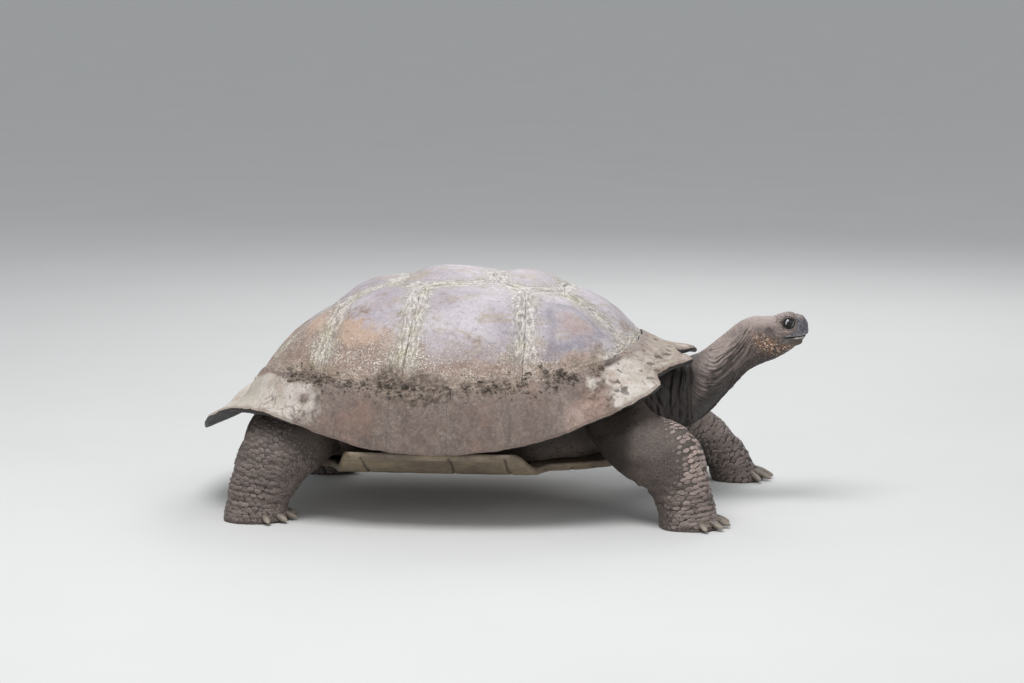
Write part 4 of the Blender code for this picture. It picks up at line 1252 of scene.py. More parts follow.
PLASTRON_BOTTOM, PLASTRON_THICK = 0.098, 0.016
PLASTRON_FRONT, PLASTRON_REAR = 0.40, -0.40
PLASTRON_ROWS, PLASTRON_COLUMNS = 190, 121
LOBE_HALF_WIDTH, BRIDGE_HALF_WIDTH = 0.215, 0.388
LOBE_POWER, LOBE_FULLNESS = 3.2, 0.93
BRIDGE_FRONT, BRIDGE_REAR, BRIDGE_CORNER, BRIDGE_RISE = 0.20, -0.205, 0.08, 0.052
FLAT_HALF_WIDTH, ANAL_NOTCH = 0.24, 0.03
BELLY_SEAMS = (0.30, 0.175, 0.055, -0.165, -0.295)
BRIDGE_SEAM = 0.235


def plastron_half_width(x):
    reach = np.where(x > 0, PLASTRON_FRONT, -PLASTRON_REAR)
    lobe = LOBE_HALF_WIDTH * (1 - LOBE_FULLNESS * (np.abs(x) / reach) ** LOBE_POWER) ** 0.5
    bridge = ease((BRIDGE_FRONT - x) / BRIDGE_CORNER + 0.5) * ease((x - BRIDGE_REAR) / BRIDGE_CORNER + 0.5)
    return lobe + (BRIDGE_HALF_WIDTH - lobe) * bridge


def belly_seam(place):
    """Distance to the nearest seam between the belly's scutes."""
    x, y, _ = place.T
    bow = 0.018 * np.cos(np.clip(np.abs(y) / 0.2, 0, 1) * math.pi) + 0.003 * noise(place, 0.04, 71)
    cross = np.min([np.abs(x - seam - bow * (1 if seam > 0 else -1)) for seam in BELLY_SEAMS], axis=0)
    bridge = np.abs(np.abs(y) - BRIDGE_SEAM + 0.004 * noise(place, 0.05, 72))
    bridge = np.where((x < BRIDGE_FRONT) & (x > BRIDGE_REAR), bridge, 1.0)
    return np.minimum.reduce([cross, np.abs(y + 0.002 * noise(place, 0.05, 73)), bridge])


def make_plastron(finish):
    """Belly plate with its paired scutes, their seams sunk between worn growth rings."""
    rows, columns = PLASTRON_ROWS, PLASTRON_COLUMNS
    x = np.linspace(PLASTRON_FRONT, PLASTRON_REAR, rows)[:, None] + np.zeros(columns)
    share = np.sin(np.linspace(-1, 1, columns) * math.pi / 2)[None, :] + np.zeros((rows, 1))
    y = plastron_half_width(x) * share
    x = x + ANAL_NOTCH * ease((-x - 0.32) / 0.08) * (1 - np.abs(share)) ** 2
    rise = BRIDGE_RISE * ease((np.abs(y) - FLAT_HALF_WIDTH) / (BRIDGE_HALF_WIDTH - FLAT_HALF_WIDTH))
    place = np.stack([x, y, PLASTRON_BOTTOM + rise], axis=-1).reshape(-1, 3)
    seam = belly_seam(place)
    rings = (0.5 + 0.5 * np.cos(2 * math.pi * (seam / 0.0085 + 0.5 * noise(place, 0.05, 74)))) ** 0.8
    dent = 0.0022 * (1 - ease(seam / 0.004)) - 0.0006 * rings * (1 - ease((seam - 0.02) / 0.04))
    rounding = 0.005 * (1 - ease((1 - np.abs(share)).reshape(-1) / 0.02)) ** 2
    lower = place.copy()
    lower[:, 2] += dent + rounding + 0.0007 * noise(place, 0.03, 75)
    half = rows * columns
    grid = np.arange(half).reshape(rows, columns)
    faces = []
    for a, b, c, d in zip(grid[:-1, :-1].flat, grid[:-1, 1:].flat, grid[1:, 1:].flat, grid[1:, :-1].flat):
        faces += [(a, b, c, d), (a + half, d + half, c + half, b + half)]
    rim = [*grid[:, 0], *grid[-1, 1:], *grid[-2::-1, -1], *grid[0, -2:0:-1]]
    faces += [(a, b, b + half, a + half) for a, b in zip(rim, rim[1:] + rim[:1])]
    faces = [tuple(int(i) for i in face) for face in faces]
    points = np.concatenate([lower, place + (0.0, 0.0, PLASTRON_THICK)])
    mesh = outward_mesh("plastron_scutes", points, faces)
    fields = {"seam": np.concatenate([seam, np.full(half, 0.05)])}
    dress(mesh, "plastron_scutes", finish, ("plastron",), fields)


# Scales and mud.

SCALE_SIDES = 10
SCALE_ROUNDNESS = 3.2  # the power of a scale's outline: 2 is an ellipse
SCALE_RINGS = ((1.04, -0.4), (0.88, 0.70), (0.46, 0.95))  # size and lift of each ring of a scale
PATCH = 0.0014  # half of a scale's patch on the baking map
LEG_ROW, LEG_SCALES_FROM = 0.0078, 0.30  # from row to row, and the share of the leg above them
FORELEG_SCALE, HIND_LEG_SCALE = 0.0160, 0.0135  # round the leg
FACE_STEP, FACE_SLANT = 0.0037, math.radians(-32.0)
FACE_SCALE = 0.00175
CRUMBS = 1500
CRUMBS_FROM, CRUMBS_TO = 44, 150  # degrees back
CRUMB_LEAST, CRUMB_MOST, CRUMB_SPREAD = 0.0010, 0.0075, 0.019
CRUMB_ENDS = 2.1  # radians back, where the row of crumbs thins out


def grow_scales(name, scales, surface, finish, seed):
    """Joined scales on the skin, each domed and thicker towards its free lower edge.

    Each of scales is a root, the way down, half-length, half-width and height, a spot on the
    baking map, and how pale the scale is, which on the far legs is lowered as painted shade.
    """
    roots, downs, sizes, maps, glows = zip(*scales)
    found = [surface.find_nearest(Vector(root)) for root in roots]
    roots = np.array([place for place, _, _, _ in found])
    normals = np.array([normal for _, normal, _, _ in found])
    downs = np.array(downs)
    downs = unit(downs - normals * (downs * normals).sum(axis=1, keepdims=True))
    across = np.cross(normals, downs)
    length, width, height = np.array(sizes).T

    n, count = SCALE_SIDES, len(roots)
    angle = 2 * math.pi * (np.arange(n) + 0.5) / n
    ring = np.stack([np.cos(angle), np.sin(angle)], axis=1)
    ring *= (np.abs(ring) ** SCALE_ROUNDNESS).sum(axis=1, keepdims=True) ** (-1 / SCALE_ROUNDNESS)
    shape = np.concatenate([*(ring * size for size, _ in SCALE_RINGS), [[0.0, 0.0]]])
    each = len(shape)
    free = 0.45 + 0.55 * ease((shape[:, 0] + 1.0) / 2.0)
    lift = np.repeat([lift for _, lift in SCALE_RINGS], n)
    lift = np.append(lift, 1.0) * np.where(np.arange(each) < n, 1.0, free)
    flat = roots[:, None] + downs[:, None] * (shape[:, 0] * length[:, None])[..., None]
    flat = flat + across[:, None] * (shape[:, 1] * width[:, None])[..., None]
    base = np.array([surface.find_nearest(Vector(point))[0] for point in flat.reshape(-1, 3)])
    normals = np.repeat(normals, each, axis=0)
    points = base + normals * (lift * height[:, None]).reshape(-1, 1)
    points += 0.0003 * noise(points, 0.004, 81)[:, None] * normals
    points[:, 2] = np.maximum(points[:, 2], 0.0005)
    one = tube_faces(len(SCALE_RINGS), n) + fan_faces(2 * n, 3 * n, n)
    faces = [tuple(i + k * each for i in face) for k in range(count) for face in one]
    mesh = mesh_of(name, points, faces)

    corners = np.empty(len(mesh.loops), np.int32)
    mesh.loops.foreach_get("vertex_index", corners)
    spots = (np.array(maps)[:, None] + shape * PATCH).reshape(-1, 2)
    layer = mesh.uv_layers.new(name="OFBake")
    layer.data.foreach_set("uv", spots[corners].astype(np.float32).ravel())
    fields = {
        "tint": np.repeat(hashed(np.round(roots * 5000), seed), each),
        "edge": np.tile(np.linalg.norm(shape, axis=1), count),
        "glow": np.repeat(glows, each),
    }
    dress(mesh, name, finish, (), fields)


def leg_scale(fore, share, angle):
    """Half-length, half-width, height and paleness of a scale, or None where the hide is granular."""
    front, outer = math.cos(angle), -math.sin(angle)
    low = float(ease((share - 0.62) / 0.20))
    facing = front if fore else max(0.8 * outer, abs(front) - 0.1)
    bare = (0.12 if fore else 0.35) - 0.75 * low + 3.6 * max(0.0, 0.46 - share)
    if share < 0.28 or facing < bare:
        return None
    grown = float(ease((facing - bare) / 0.55))
    wide = 0.0036 + (0.0060 if fore else 0.0042) * grown
    glow = float(ease((front - bare) / 0.45)) * (1 - 0.6 * low) if fore else 0.15 * low
    return 0.0030 + 0.0020 * grown, wide, 0.0010 + 0.0008 * grown, glow


def make_leg_scales(name, tube, index, fore, surface, finish):
    """Rows of scales round a leg, where its hide isn't granular."""
    scales, total = [], tube.length[-1]
    reach, row = LEG_SCALES_FROM * total, 0
    while reach < total - 0.004:
        station, share = int(np.searchsorted(tube.length, reach)), reach / total
        girth = math.pi * (tube.half_side[station] + tube.half_up[station])
        n = round(girth / (FORELEG_SCALE if fore else HIND_LEG_SCALE))
        for k in range(n):
            chance, more = (hashed(np.array([[k, row, index]]), seed)[0] for seed in (91, 92))
            angle = 2 * math.pi * (k + 0.5 * (row % 2) + 0.25 * (chance - 0.5)) / n - math.pi
            scale = leg_scale(fore, share, angle)
            if scale is None:
                continue
            here = min(station + round((chance - 0.5) * 3), STATIONS - 2)
            root = tube.surface(np.array([here]), np.array([angle]))[0]
            size = [half * (0.86 + 0.28 * more) for half in scale[:3]]
            spot = ((index + 0.5 + 0.9 * angle / (2 * math.pi)) / 6, 0.05 + 0.9 * share)
            # The far legs' scales are kept dark as painted shade.
            glow = scale[3] * (1.0 if root[1] < 0 else 0.15)
            scales.append((root, unit(tube.centre[here + 1] - tube.centre[here]), size, spot, glow))
        reach += LEG_ROW
        row += 1
    grow_scales(name, scales, surface, finish, 93)


def bare_face(x, z):
    """Whether the side of the head has no small scales here."""
    behind = ease((0.731 - x) / 0.012)
    roof = (mouth_z(x) - 0.0125) * (1 - behind) + (0.3830 + 0.15 * (0.70 - x)) * behind
    ear = np.hypot((x - TYMPANUM[0]) / 0.0115, (z - TYMPANUM[2]) / 0.0105)
    return not 0.648 < x < 0.770 or z > roof or ear < 1.0


def make_face_scales(surface, finish):
    """Small ridged scales on the cheeks, jaw and throat, in rows that slant forward and down."""
    scales = []
    c, s = math.cos(FACE_SLANT), math.sin(FACE_SLANT)
    for side, i, j in itertools.product((-1, 1), range(-24, 48), range(-40, 40)):
        chance, more = (hashed(np.array([[i, j, side]]), seed)[0] for seed in (94, 95))
        a = FACE_STEP * 1.45 * (i + 0.5 * (j % 2) + 0.6 * (chance - 0.5))
        b = FACE_STEP * 0.86 * (j + 0.5 * (more - 0.5))
        x, z = 0.700 + a * c - b * s, 0.355 + a * s + b * c
        if bare_face(x, z):
            continue
        place, normal, _, _ = surface.ray_cast(Vector((x, side * 0.12, z)), Vector((0, -side, 0)))
        if place is None or normal.z < -0.80:
            continue
        big = FACE_SCALE * (0.75 + 0.5 * more) * (0.75 + 0.25 * ease((x - 0.655) / 0.02))
        size = (big * 1.40, big * 0.78, 0.0009 * (0.6 + 0.8 * chance))
        spot = (0.5 + side * (x - 0.62) * 2.6, 0.02 + (z - 0.28) * 6.0)
        scales.append((tuple(place), (c, 0.0, s), size, spot, min(1.0, 1.30 * rusty_at(x, z))))
    grow_scales("face_scales", scales, surface, finish, 96)


def make_mud(finish):
    """Clods and crumbs of dried mud along the seam over the marginals."""
    bm = bmesh.new()
    bmesh.ops.create_icosphere(bm, subdivisions=2, radius=1.0)
    ball = np.array([v.co for v in bm.verts])
    ball_faces = [tuple(v.index for v in face.verts) for face in bm.faces]
    bm.free()
    dice = np.random.default_rng(7)
    points = []
    while len(points) < CRUMBS:
        back = math.radians(dice.uniform(CRUMBS_FROM, CRUMBS_TO))
        t = SEAM_T + dice.normal(0.004, CRUMB_SPREAD)
        side = dice.choice((-1, 1))
        size = min(CRUMB_LEAST + dice.exponential(0.0011), CRUMB_MOST)
        turn = unit(dice.normal(0, 1, (3, 3)))
        p, q = t * math.cos(back), side * t * math.sin(back)
        place = dome(p, q)
        thinning = ease((back - CRUMB_ENDS) / 0.3)
        if noise(place[None], 0.045, 36)[0] + 0.9 * dice.random() < 0.25 + 0.5 * thinning:
            continue
        size *= 1 - 0.5 * thinning
        lump = ball * (1 + 0.55 * rough(ball + len(points) * 7.7, 1.1, 37, 2))[:, None]
        lump = lump @ turn * size * (1.0, 1.0, 0.75)
        points.append(place + dome_normal(p, q) * (0.0005 + 0.3 * size) + lump)
    faces = [tuple(i + k * len(ball) for i in face) for k in range(CRUMBS) for face in ball_faces]
    dress(mesh_of("dried_mud", np.concatenate(points), faces), "dried_mud", finish, ())


# Materials.


class Shading:
    """One procedural material, with short calls for the nodes that feed its shader."""

    def __init__(self, name):
        self.material = bpy.data.materials.new(name)
        self.material.use_nodes = True
        self.tree = self.material.node_tree
        self.shader = self.tree.nodes["Principled BSDF"]
        self.place = self.tree.nodes.new("ShaderNodeTexCoord").outputs["Object"]

    def put(self, socket, value):
        """Links another node's output to the socket, or sets the socket's own value."""
        if isinstance(value, bpy.types.NodeSocket):
            self.tree.links.new(value, socket)
        elif isinstance(value, tuple) and len(value) == 3 and socket.type == "RGBA":
            socket.default_value = (*value, 1.0)
        else:
            socket.default_value = value

    def node(self, kind, values, output, **settings):
        made = self.tree.nodes.new(kind)
        for key, setting in settings.items():
            setattr(made, key, setting)
        for key, value in values.items():
            self.put(made.inputs[key], value)
        return made.outputs[output]

    def field(self, name):
        return self.node("ShaderNodeAttribute", {}, "Fac", attribute_name=name)

    def math(self, operation, *values):
        return self.node("ShaderNodeMath", dict(enumerate(values)), "Value", operation=operation)

    def times(self, first, *more):
        for value in more:
            first = self.math("MULTIPLY", first, value)
        return first

    def plus(self, a, b):
        return self.math("ADD", a, b)

    def minus(self, a, b):
        return self.math("SUBTRACT", a, b)

    def noise(self, scale, detail=4.0, roughness=0.55, distortion=0.0, vector=None):
        values = {"Scale": scale, "Detail": detail, "Roughness": roughness}
        values |= {"Vector": vector or self.place, "Distortion": distortion}
        return self.node("ShaderNodeTexNoise", values, "Fac")

    def streaks(self, scales, detail, roughness, distortion=0.0):
        """Noise with a scale of its own along x, y and z."""
        vector = self.node("ShaderNodeMapping", {"Vector": self.place, "Scale": scales}, "Vector")
        return self.noise(1.0, detail, roughness, distortion, vector)

    def cell_edges(self, scale):
        values = {"Scale": scale, "Vector": self.place}
        return self.node("ShaderNodeTexVoronoi", values, "Distance", feature="DISTANCE_TO_EDGE")

    def step(self, value, low, high, start=0.0, end=1.0):
        """start up to low, end from high, and smooth between."""
        values = {0: value, 1: low, 2: high, 3: start, 4: end}
        return self.node("ShaderNodeMapRange", values, "Result", interpolation_type="SMOOTHSTEP")

    def frayed(self, value, *layers):
        """The value with each (noise, amount) added, so that steps in it get a ragged edge."""
        for layer, amount in layers:
            value = self.plus(value, self.times(self.minus(layer, 0.5), amount))
        return value

    def mix(self, share, a, b, blend="MIX"):
        return self.node("ShaderNodeMix", {0: share, 6: a, 7: b}, 2, data_type="RGBA", blend_type=blend)

    def coats(self, colour, *layers):
        """The colour under each (share, colour) in turn."""
        for share, layer in layers:
            colour = self.mix(share, colour, layer)
        return colour

    def grained(self, colour, grain, share, dark):
        """The colour, darker and lighter with the grain."""
        return self.mix(share, colour, self.mix(grain, (dark,) * 3, (1 - dark,) * 3), "SOFT_LIGHT")

    def bump(self, height, distance, strength, normal=None):
        values = {"Height": height, "Distance": distance, "Strength": strength}
        if normal is not None:
            values["Normal"] = normal
        return self.node("ShaderNodeBump", values, "Normal")

    def finish(self, colour, roughness, normal=None, **fixed):
        self.put(self.shader.inputs["Base Color"], colour)
        self.put(self.shader.inputs["Roughness"], roughness)
        if normal is not None:
            self.put(self.shader.inputs["Normal"], normal)
        for key, value in fixed.items():
            self.shader.inputs[key.replace("_", " ")].default_value = value
        return self.material


# Colours of the shell.
# The lilac of the upper plates is partly a painted sheen.
GREY_LILAC, LILAC = (0.335, 0.295, 0.325), (0.465, 0.425, 0.455)
OLIVE_STAIN, SCUFF = (0.345, 0.285, 0.225), (0.235, 0.200, 0.200)
AREOLA, PLATE_CORE = (0.190, 0.180, 0.220), (0.400, 0.300, 0.275)
FLANK, FLANK_PALE = (0.235, 0.165, 0.130), (0.34, 0.26, 0.215)
FLANK_SCUFF, RUST = (0.120, 0.088, 0.072), (0.470, 0.330, 0.248)
MAUVE_BROWN, MAUVE_PALE = (0.150, 0.108, 0.092), (0.22, 0.165, 0.140)
RIM_RUST, WORN_RIM = (0.27, 0.165, 0.120), (0.26, 0.19, 0.155)
RIM_PEACH, RIM_PEACH_DARK = (0.46, 0.33, 0.28), (0.30, 0.195, 0.150)
RUN_DARK, RUN_PALE = (0.085, 0.062, 0.052), (0.33, 0.28, 0.22)
SOIL, SOIL_PALE = (0.250, 0.178, 0.142), (0.410, 0.300, 0.240)
DUST, PIT = (0.255, 0.178, 0.140), (0.13, 0.10, 0.082)
LICHEN, LICHEN_SOILED = (0.63, 0.595, 0.53), (0.50, 0.425, 0.35)
LICHEN_GREY, LICHEN_GREEN = (0.44, 0.405, 0.37), (0.36, 0.35, 0.22)
PALE_MUD, WHITE_MUD = (0.60, 0.545, 0.495), (0.63, 0.585, 0.54)
TAN_MUD, WARM_MUD = (0.36, 0.295, 0.245), (0.44, 0.33, 0.275)
BROWN_MUD, OLIVE_MUD = (0.265, 0.205, 0.165), (0.37, 0.33, 0.255)
DARK_MUD, DARK_MUD_DRY = (0.105, 0.080, 0.064), (0.27, 0.205, 0.160)
MUD_HOLE, MUD_GRAIN = (0.20, 0.155, 0.125), (0.42, 0.36, 0.30)
# The second darkens the mud's cracks and paints the shadow under its front edge.
GROOVE, CRACK_AND_SHADOW = (0.17, 0.145, 0.11), (0.060, 0.046, 0.037)
# The dark of the seams, and painted shade for the plates' hidden undersides.
CREVICE, UNDERSIDE_SHADE = (0.035, 0.027, 0.022), (0.014, 0.011, 0.010)


class ShellShading(Shading):
    """The shading of a shell plate in its steps, which share four sizes of grain."""

    def __init__(self, name, marginal):
        super().__init__(name)
        self.marginal = marginal
        self.blotch, self.small = self.noise(9.0, 5.0, 0.6), self.noise(42.0, 5.0, 0.65)
        self.tiny, self.grain = self.noise(130.0, 5.0, 0.65), self.noise(330.0, 3.0, 0.6)

    def horn(self):
        """Lilac tops, partly a painted sheen, over brown flanks, with stains and scuffs."""
        stain = self.streaks((13.0, 13.0, 30.0), 5.0, 0.65, 0.5)
        scuff = self.streaks((34.0, 34.0, 60.0), 6.0, 0.7, 0.8)
        horn = self.coats(
            self.mix(self.step(self.blotch, 0.36, 0.66), GREY_LILAC, LILAC),
            (self.step(self.noise(24.0, 5.0, 0.6, 0.5), 0.50, 0.75, 0.0, 0.45), FLANK_PALE),
            (self.step(stain, 0.51, 0.64, 0.0, 0.75), OLIVE_STAIN),
            (self.step(scuff, 0.52, 0.64, 0.0, 0.50), SCUFF),
            (self.times(self.field("areola"), 0.85), AREOLA),
            (self.times(self.field("core"), self.step(self.small, 0.35, 0.60, 0.4, 1.0), 0.75), PLATE_CORE),
        )
        rust = self.frayed(self.field("rust"), (self.small, 1.2), (self.tiny, 0.8))
        flank = self.coats(
            self.mix(self.step(self.small, 0.35, 0.65), FLANK, FLANK_PALE),
            (self.step(scuff, 0.52, 0.66, 0.0, 0.65), FLANK_SCUFF),
            (self.step(rust, 0.15, 1.0, 0.0, 0.80), RUST),
        )
        # Paler lilac on the upper plates, partly a painted sheen, over the brown flanks.
        lilac = self.frayed(self.field("lilac"), (self.small, 1.6), (self.tiny, 0.9))
        return self.mix(self.step(lilac, 0.15, 0.85), flank, horn)

    def rim_horn(self):
        """Mauve-brown marginals, peach in their middle, with the marks of running water."""
        runs = self.streaks((40.0, 40.0, 14.0), 6.0, 0.7, 0.6)
        mauve = self.frayed(self.small, (self.tiny, 0.8))
        peach = self.mix(self.step(self.small, 0.40, 0.62), RIM_PEACH, RIM_PEACH_DARK)
        return self.coats(
            self.mix(self.step(mauve, 0.30, 0.75), MAUVE_BROWN, MAUVE_PALE),
            (self.step(self.blotch, 0.52, 0.66, 0.0, 0.5), RIM_RUST),
            (self.times(self.field("core"), 0.75), peach),
            (self.step(runs, 0.50, 0.66, 0.0, 0.40), RUN_DARK),
            (self.step(runs, 0.30, 0.42, 0.30, 0.0), RUN_PALE),
        )

    def soiled(self, colour):
        """Soil on the lower slopes, dust, flecks of lichen and dark pits."""
        low, dusty = self.field("low"), self.field("dusty")
        soil = self.frayed(low, (self.small, 1.0), (self.tiny, 0.7))
        soil_colour = self.mix(self.step(self.small, 0.40, 0.60), SOIL, SOIL_PALE)
        dust = self.step(self.frayed(self.blotch, (self.small, 1.0)), 0.30, 0.60, 0.25, 0.70)
        bare = self.frayed(self.noise(24.0, 4.0, 0.6), (self.tiny, 0.5))
        bare = self.times(low, self.plus(self.step(bare, 0.42, 0.58, 0.11, 0.0), 0.018))
        near = self.minus(self.step(self.field("seam"), 0.008, 0.060, 0.085, 0.0), bare)
        zones = self.plus(self.times(dusty, 0.10), self.times(self.field("lilac"), -0.05))
        chance = self.plus(near, zones)
        flecks = self.plus(self.noise(270.0, 2.0, 0.6, 0.3), chance)
        pits = self.minus(self.noise(230.0, 2.0, 0.6, 0.3), self.times(chance, 0.9))
        amount = 0.10 if self.marginal else 0.85
        fleck_colour = self.mix(self.times(low, 0.75), LICHEN, LICHEN_SOILED)
        return self.coats(
            colour,
            (self.step(soil, 0.25, 0.80, 0.0, 0.80), soil_colour),
            (self.times(dusty, dust), DUST),
            (self.times(self.step(flecks, 0.635, 0.69), amount), fleck_colour),
            (self.times(self.step(pits, 0.29, 0.35, 1.0, 0.0), amount), PIT),
        )

    def lichened(self, colour):
        """A film of lichen along the seams, dark in the growth rings and pale on their crests."""
        ridge = self.field("ridge")
        band = self.frayed(self.field("seam"), (self.small, 0.036), (self.tiny, 0.016))
        band = self.step(band, 0.008, 0.044, 1.0, 0.0)
        reach = 0.07 if self.marginal else self.minus(0.92, self.times(self.field("low"), 0.62))
        film = self.mix(self.step(self.noise(17.0), 0.45, 0.60), LICHEN_GREY, LICHEN_GREEN)
        grooves = self.step(self.frayed(ridge, (self.tiny, 0.7)), 0.10, 0.40, 1.0, 0.0)
        crests = self.step(self.frayed(ridge, (self.tiny, 1.5), (self.small, 1.2)), 0.58, 0.80)
        chips = self.step(self.noise(230.0, 3.0, 0.6), 0.46, 0.58, 0.08, 1.0)
        return self.coats(
            colour,
            (self.times(band, reach, 0.50), film),
            (self.times(band, grooves, self.times(reach, 0.55)), GROOVE),
            (self.times(crests, chips, reach), LICHEN),
        )

    def muddied(self, colour):
        """Mud dried pale on the rim and dark over the marginals, with cracks."""
        tan = self.mix(self.step(self.small, 0.40, 0.62), TAN_MUD, WARM_MUD)
        mud = self.coats(
            self.mix(self.step(self.blotch, 0.38, 0.62), PALE_MUD, WHITE_MUD),
            (self.step(self.tiny, 0.44, 0.70, 0.0, 0.75), TAN_MUD),
            (self.step(self.noise(14.0, 5.0, 0.65), 0.50, 0.66, 0.0, 0.75), tan),
            (self.times(self.field("tan"), self.step(self.small, 0.30, 0.62, 0.35, 0.95)), BROWN_MUD),
            (self.step(self.noise(8.0), 0.46, 0.60, 0.0, 0.55), OLIVE_MUD),
            (self.step(self.noise(70.0, 4.0, 0.7), 0.60, 0.68, 0.0, 0.6), MUD_HOLE),
        )
        dirt = self.coats(
            self.mix(self.step(self.tiny, 0.38, 0.68), DARK_MUD, DARK_MUD_DRY),
            (self.step(self.grain, 0.60, 0.72, 0.0, 0.5), MUD_GRAIN),
        )
        film = self.frayed(self.field("film"), (self.tiny, 0.7), (self.small, 0.9))
        crust = self.frayed(self.field("crust"), (self.tiny, 0.8))
        return self.coats(
            colour,
            (self.step(film, 0.15, 0.85, 0.0, 0.94), mud),
            (self.step(crust, 0.25, 0.70, 0.0, 0.95), dirt),
            # Cracks and holes in the mud, and the painted shadow under its front edge.
            (self.times(self.field("crack_and_shadow"), 0.78), CRACK_AND_SHADOW),
        )


def shell_finish(name, marginal):
    """Worn keratin under soil, lichen and mud, with a painted sheen on its lilac tops and painted shade on
    its undersides.
    """
    s = ShellShading(name, marginal)
    colour = s.rim_horn() if marginal else s.horn()
    thin = s.times(s.step(s.field("seam"), 0.0002, 0.0010, 0.8, 0.0), s.step(s.tiny, 0.44, 0.60))
    colour = s.coats(
        s.muddied(s.lichened(s.soiled(colour))),
        (s.times(thin, 0.15 if marginal else 1.0), CREVICE),
        (s.step(s.field("rim"), 0.001, 0.010, 0.5, 0.0), WORN_RIM),
        # Painted shade on the plates' hidden undersides.
        (s.times(s.field("under"), 0.97), UNDERSIDE_SHADE),
    )
    colour = s.grained(colour, s.grain, 0.75, 0.1)
    colour = s.grained(colour, s.tiny, 0.30 if marginal else 0.60, 0.1)
    normal = s.bump(s.tiny, 0.0014, 0.5, s.bump(s.noise(650.0, 3.0, 0.7), 0.0004, 0.5))
    dry = s.math("MAXIMUM", s.field("film"), s.field("crust"))
    roughness = s.plus(0.40, s.times(s.plus(s.small, dry), 0.28))
    return s.finish(colour, roughness, normal, Coat_Weight=0.05, Coat_Roughness=0.35)


# Colours of the skin, horn, eyes, belly and crumbs.
SKIN_BROWN, SKIN_WARM = (0.066, 0.049, 0.041), (0.104, 0.078, 0.065)
# The pale of the ridges, partly a painted highlight, and the painted shade of the creases.
SKIN_PALE, CREASE_SHADE = (0.40, 0.325, 0.295), (0.014, 0.011, 0.010)
# Painted shade, and painted light for the skin that faces up.
SKIN_SHADE, PAINTED_TOP_LIGHT = (0.024, 0.019, 0.016), (0.34, 0.27, 0.245)
HEAD_BROWN, HEAD_DARK = (0.195, 0.148, 0.132), (0.125, 0.092, 0.086)
RUSTY_GROUND, GREY_GREEN = (0.085, 0.042, 0.024), (0.25, 0.29, 0.25)
# The first is painted shade along the mouth's slit; the others are the mouth's corner and the lids.
MOUTH_SLIT_SHADE, LIP_CORNER, EYELID = (0.008, 0.006, 0.006), (0.075, 0.030, 0.026), (0.013, 0.011, 0.012)
CHEEK_ORANGE, PEACH, CHEEK_TAN = (0.37, 0.180, 0.088), (0.62, 0.43, 0.31), (0.28, 0.205, 0.170)
LEG_TAN, LEG_PALE = (0.30, 0.225, 0.195), (0.50, 0.385, 0.345)
SNOUT_SLATE, SNOUT_PALE, SNOUT_EDGE = (0.060, 0.058, 0.072), (0.20, 0.195, 0.205), (0.27, 0.28, 0.30)
JAW_HORN, JAW_HORN_PALE, JAW_WORN = (0.055, 0.044, 0.034), (0.15, 0.118, 0.090), (0.66, 0.63, 0.58)
PUPIL, IRIS, IRIS_BROWN = (0.002, 0.002, 0.002), (0.006, 0.005, 0.005), (0.035, 0.028, 0.026)
# The painted highlight on the eye, grey to pale.
EYE_HIGHLIGHT, EYE_HIGHLIGHT_PALE = (0.30, 0.32, 0.37), (0.60, 0.62, 0.66)
CLAW_DARK, CLAW_PALE, CLAW_SCUFF = (0.075, 0.060, 0.050), (0.26, 0.22, 0.175), (0.33, 0.28, 0.22)
BELLY_BROWN, BELLY_YELLOW, BELLY_STAIN = (0.17, 0.13, 0.095), (0.30, 0.235, 0.155), (0.11, 0.085, 0.065)
CRUMB_DARK, CRUMB_BROWN, CRUMB_PALE = (0.085, 0.066, 0.054), (0.21, 0.165, 0.135), (0.36, 0.30, 0.25)


def skin_finish(name):
    """Dry grey-brown hide: pale on its ridges, partly as a painted highlight, and painted shade in its
    creases.
    """
    s = Shading(name)
    raised, neck, shade, head = (s.field(field) for field in ("raised", "neck", "shade", "head"))
    small, tiny = s.noise(90.0, 5.0, 0.65), s.noise(330.0, 4.0, 0.7)
    # Pale on the ridges: partly the hide's own paler crests, partly a painted highlight, dimmed where shade
    # is painted.
    crest = s.times(s.step(raised, 0.62, 0.95), s.minus(1.0, s.times(shade, 0.7)))
    speckled = s.mix(s.step(s.noise(230.0, 4.0, 0.6), 0.42, 0.66), SNOUT_SLATE, SNOUT_PALE)
    creased = s.minus(s.plus(raised, s.times(s.field("leg"), 0.16)), s.times(neck, 0.10))
    colour = s.coats(
        s.mix(s.step(s.noise(16.0, 5.0, 0.6), 0.3, 0.7), SKIN_BROWN, SKIN_WARM),
        (s.times(head, 0.60), HEAD_BROWN),
        # Painted light on the skin that faces up.
        (s.times(s.field("top"), 0.80), PAINTED_TOP_LIGHT),
        (s.times(head, s.step(small, 0.50, 0.68, 0.0, 0.5)), HEAD_DARK),
        (s.times(crest, s.plus(0.08, s.times(neck, 0.40))), SKIN_PALE),
        (s.times(shade, 0.86), SKIN_SHADE),
        (s.times(s.field("rusty"), s.step(small, 0.40, 0.62), 0.80), RUSTY_GROUND),
        (s.field("slate"), speckled),
        (s.times(s.field("green"), 0.45), GREY_GREEN),
        # Painted shade in the creases of the wrinkles and scales.
        (s.step(creased, 0.08, 0.48, 0.88, 0.0), CREASE_SHADE),
        # Painted shade along the mouth's slit, with the corner's own reddish colour.
        (s.times(s.field("mouth"), 0.95), s.mix(s.field("corner"), MOUTH_SLIT_SHADE, LIP_CORNER)),
        (s.times(s.field("lid"), 0.92), EYELID),
    )
    colour = s.grained(colour, tiny, 0.55, 0.15)
    normal = s.bump(s.step(s.cell_edges(420.0), 0.02, 0.16), 0.0005, 0.4)
    normal = s.bump(s.noise(260.0, 4.0, 0.65), 0.0009, 0.5, normal)
    return s.finish(colour, s.plus(0.44, s.times(small, 0.3)), normal)


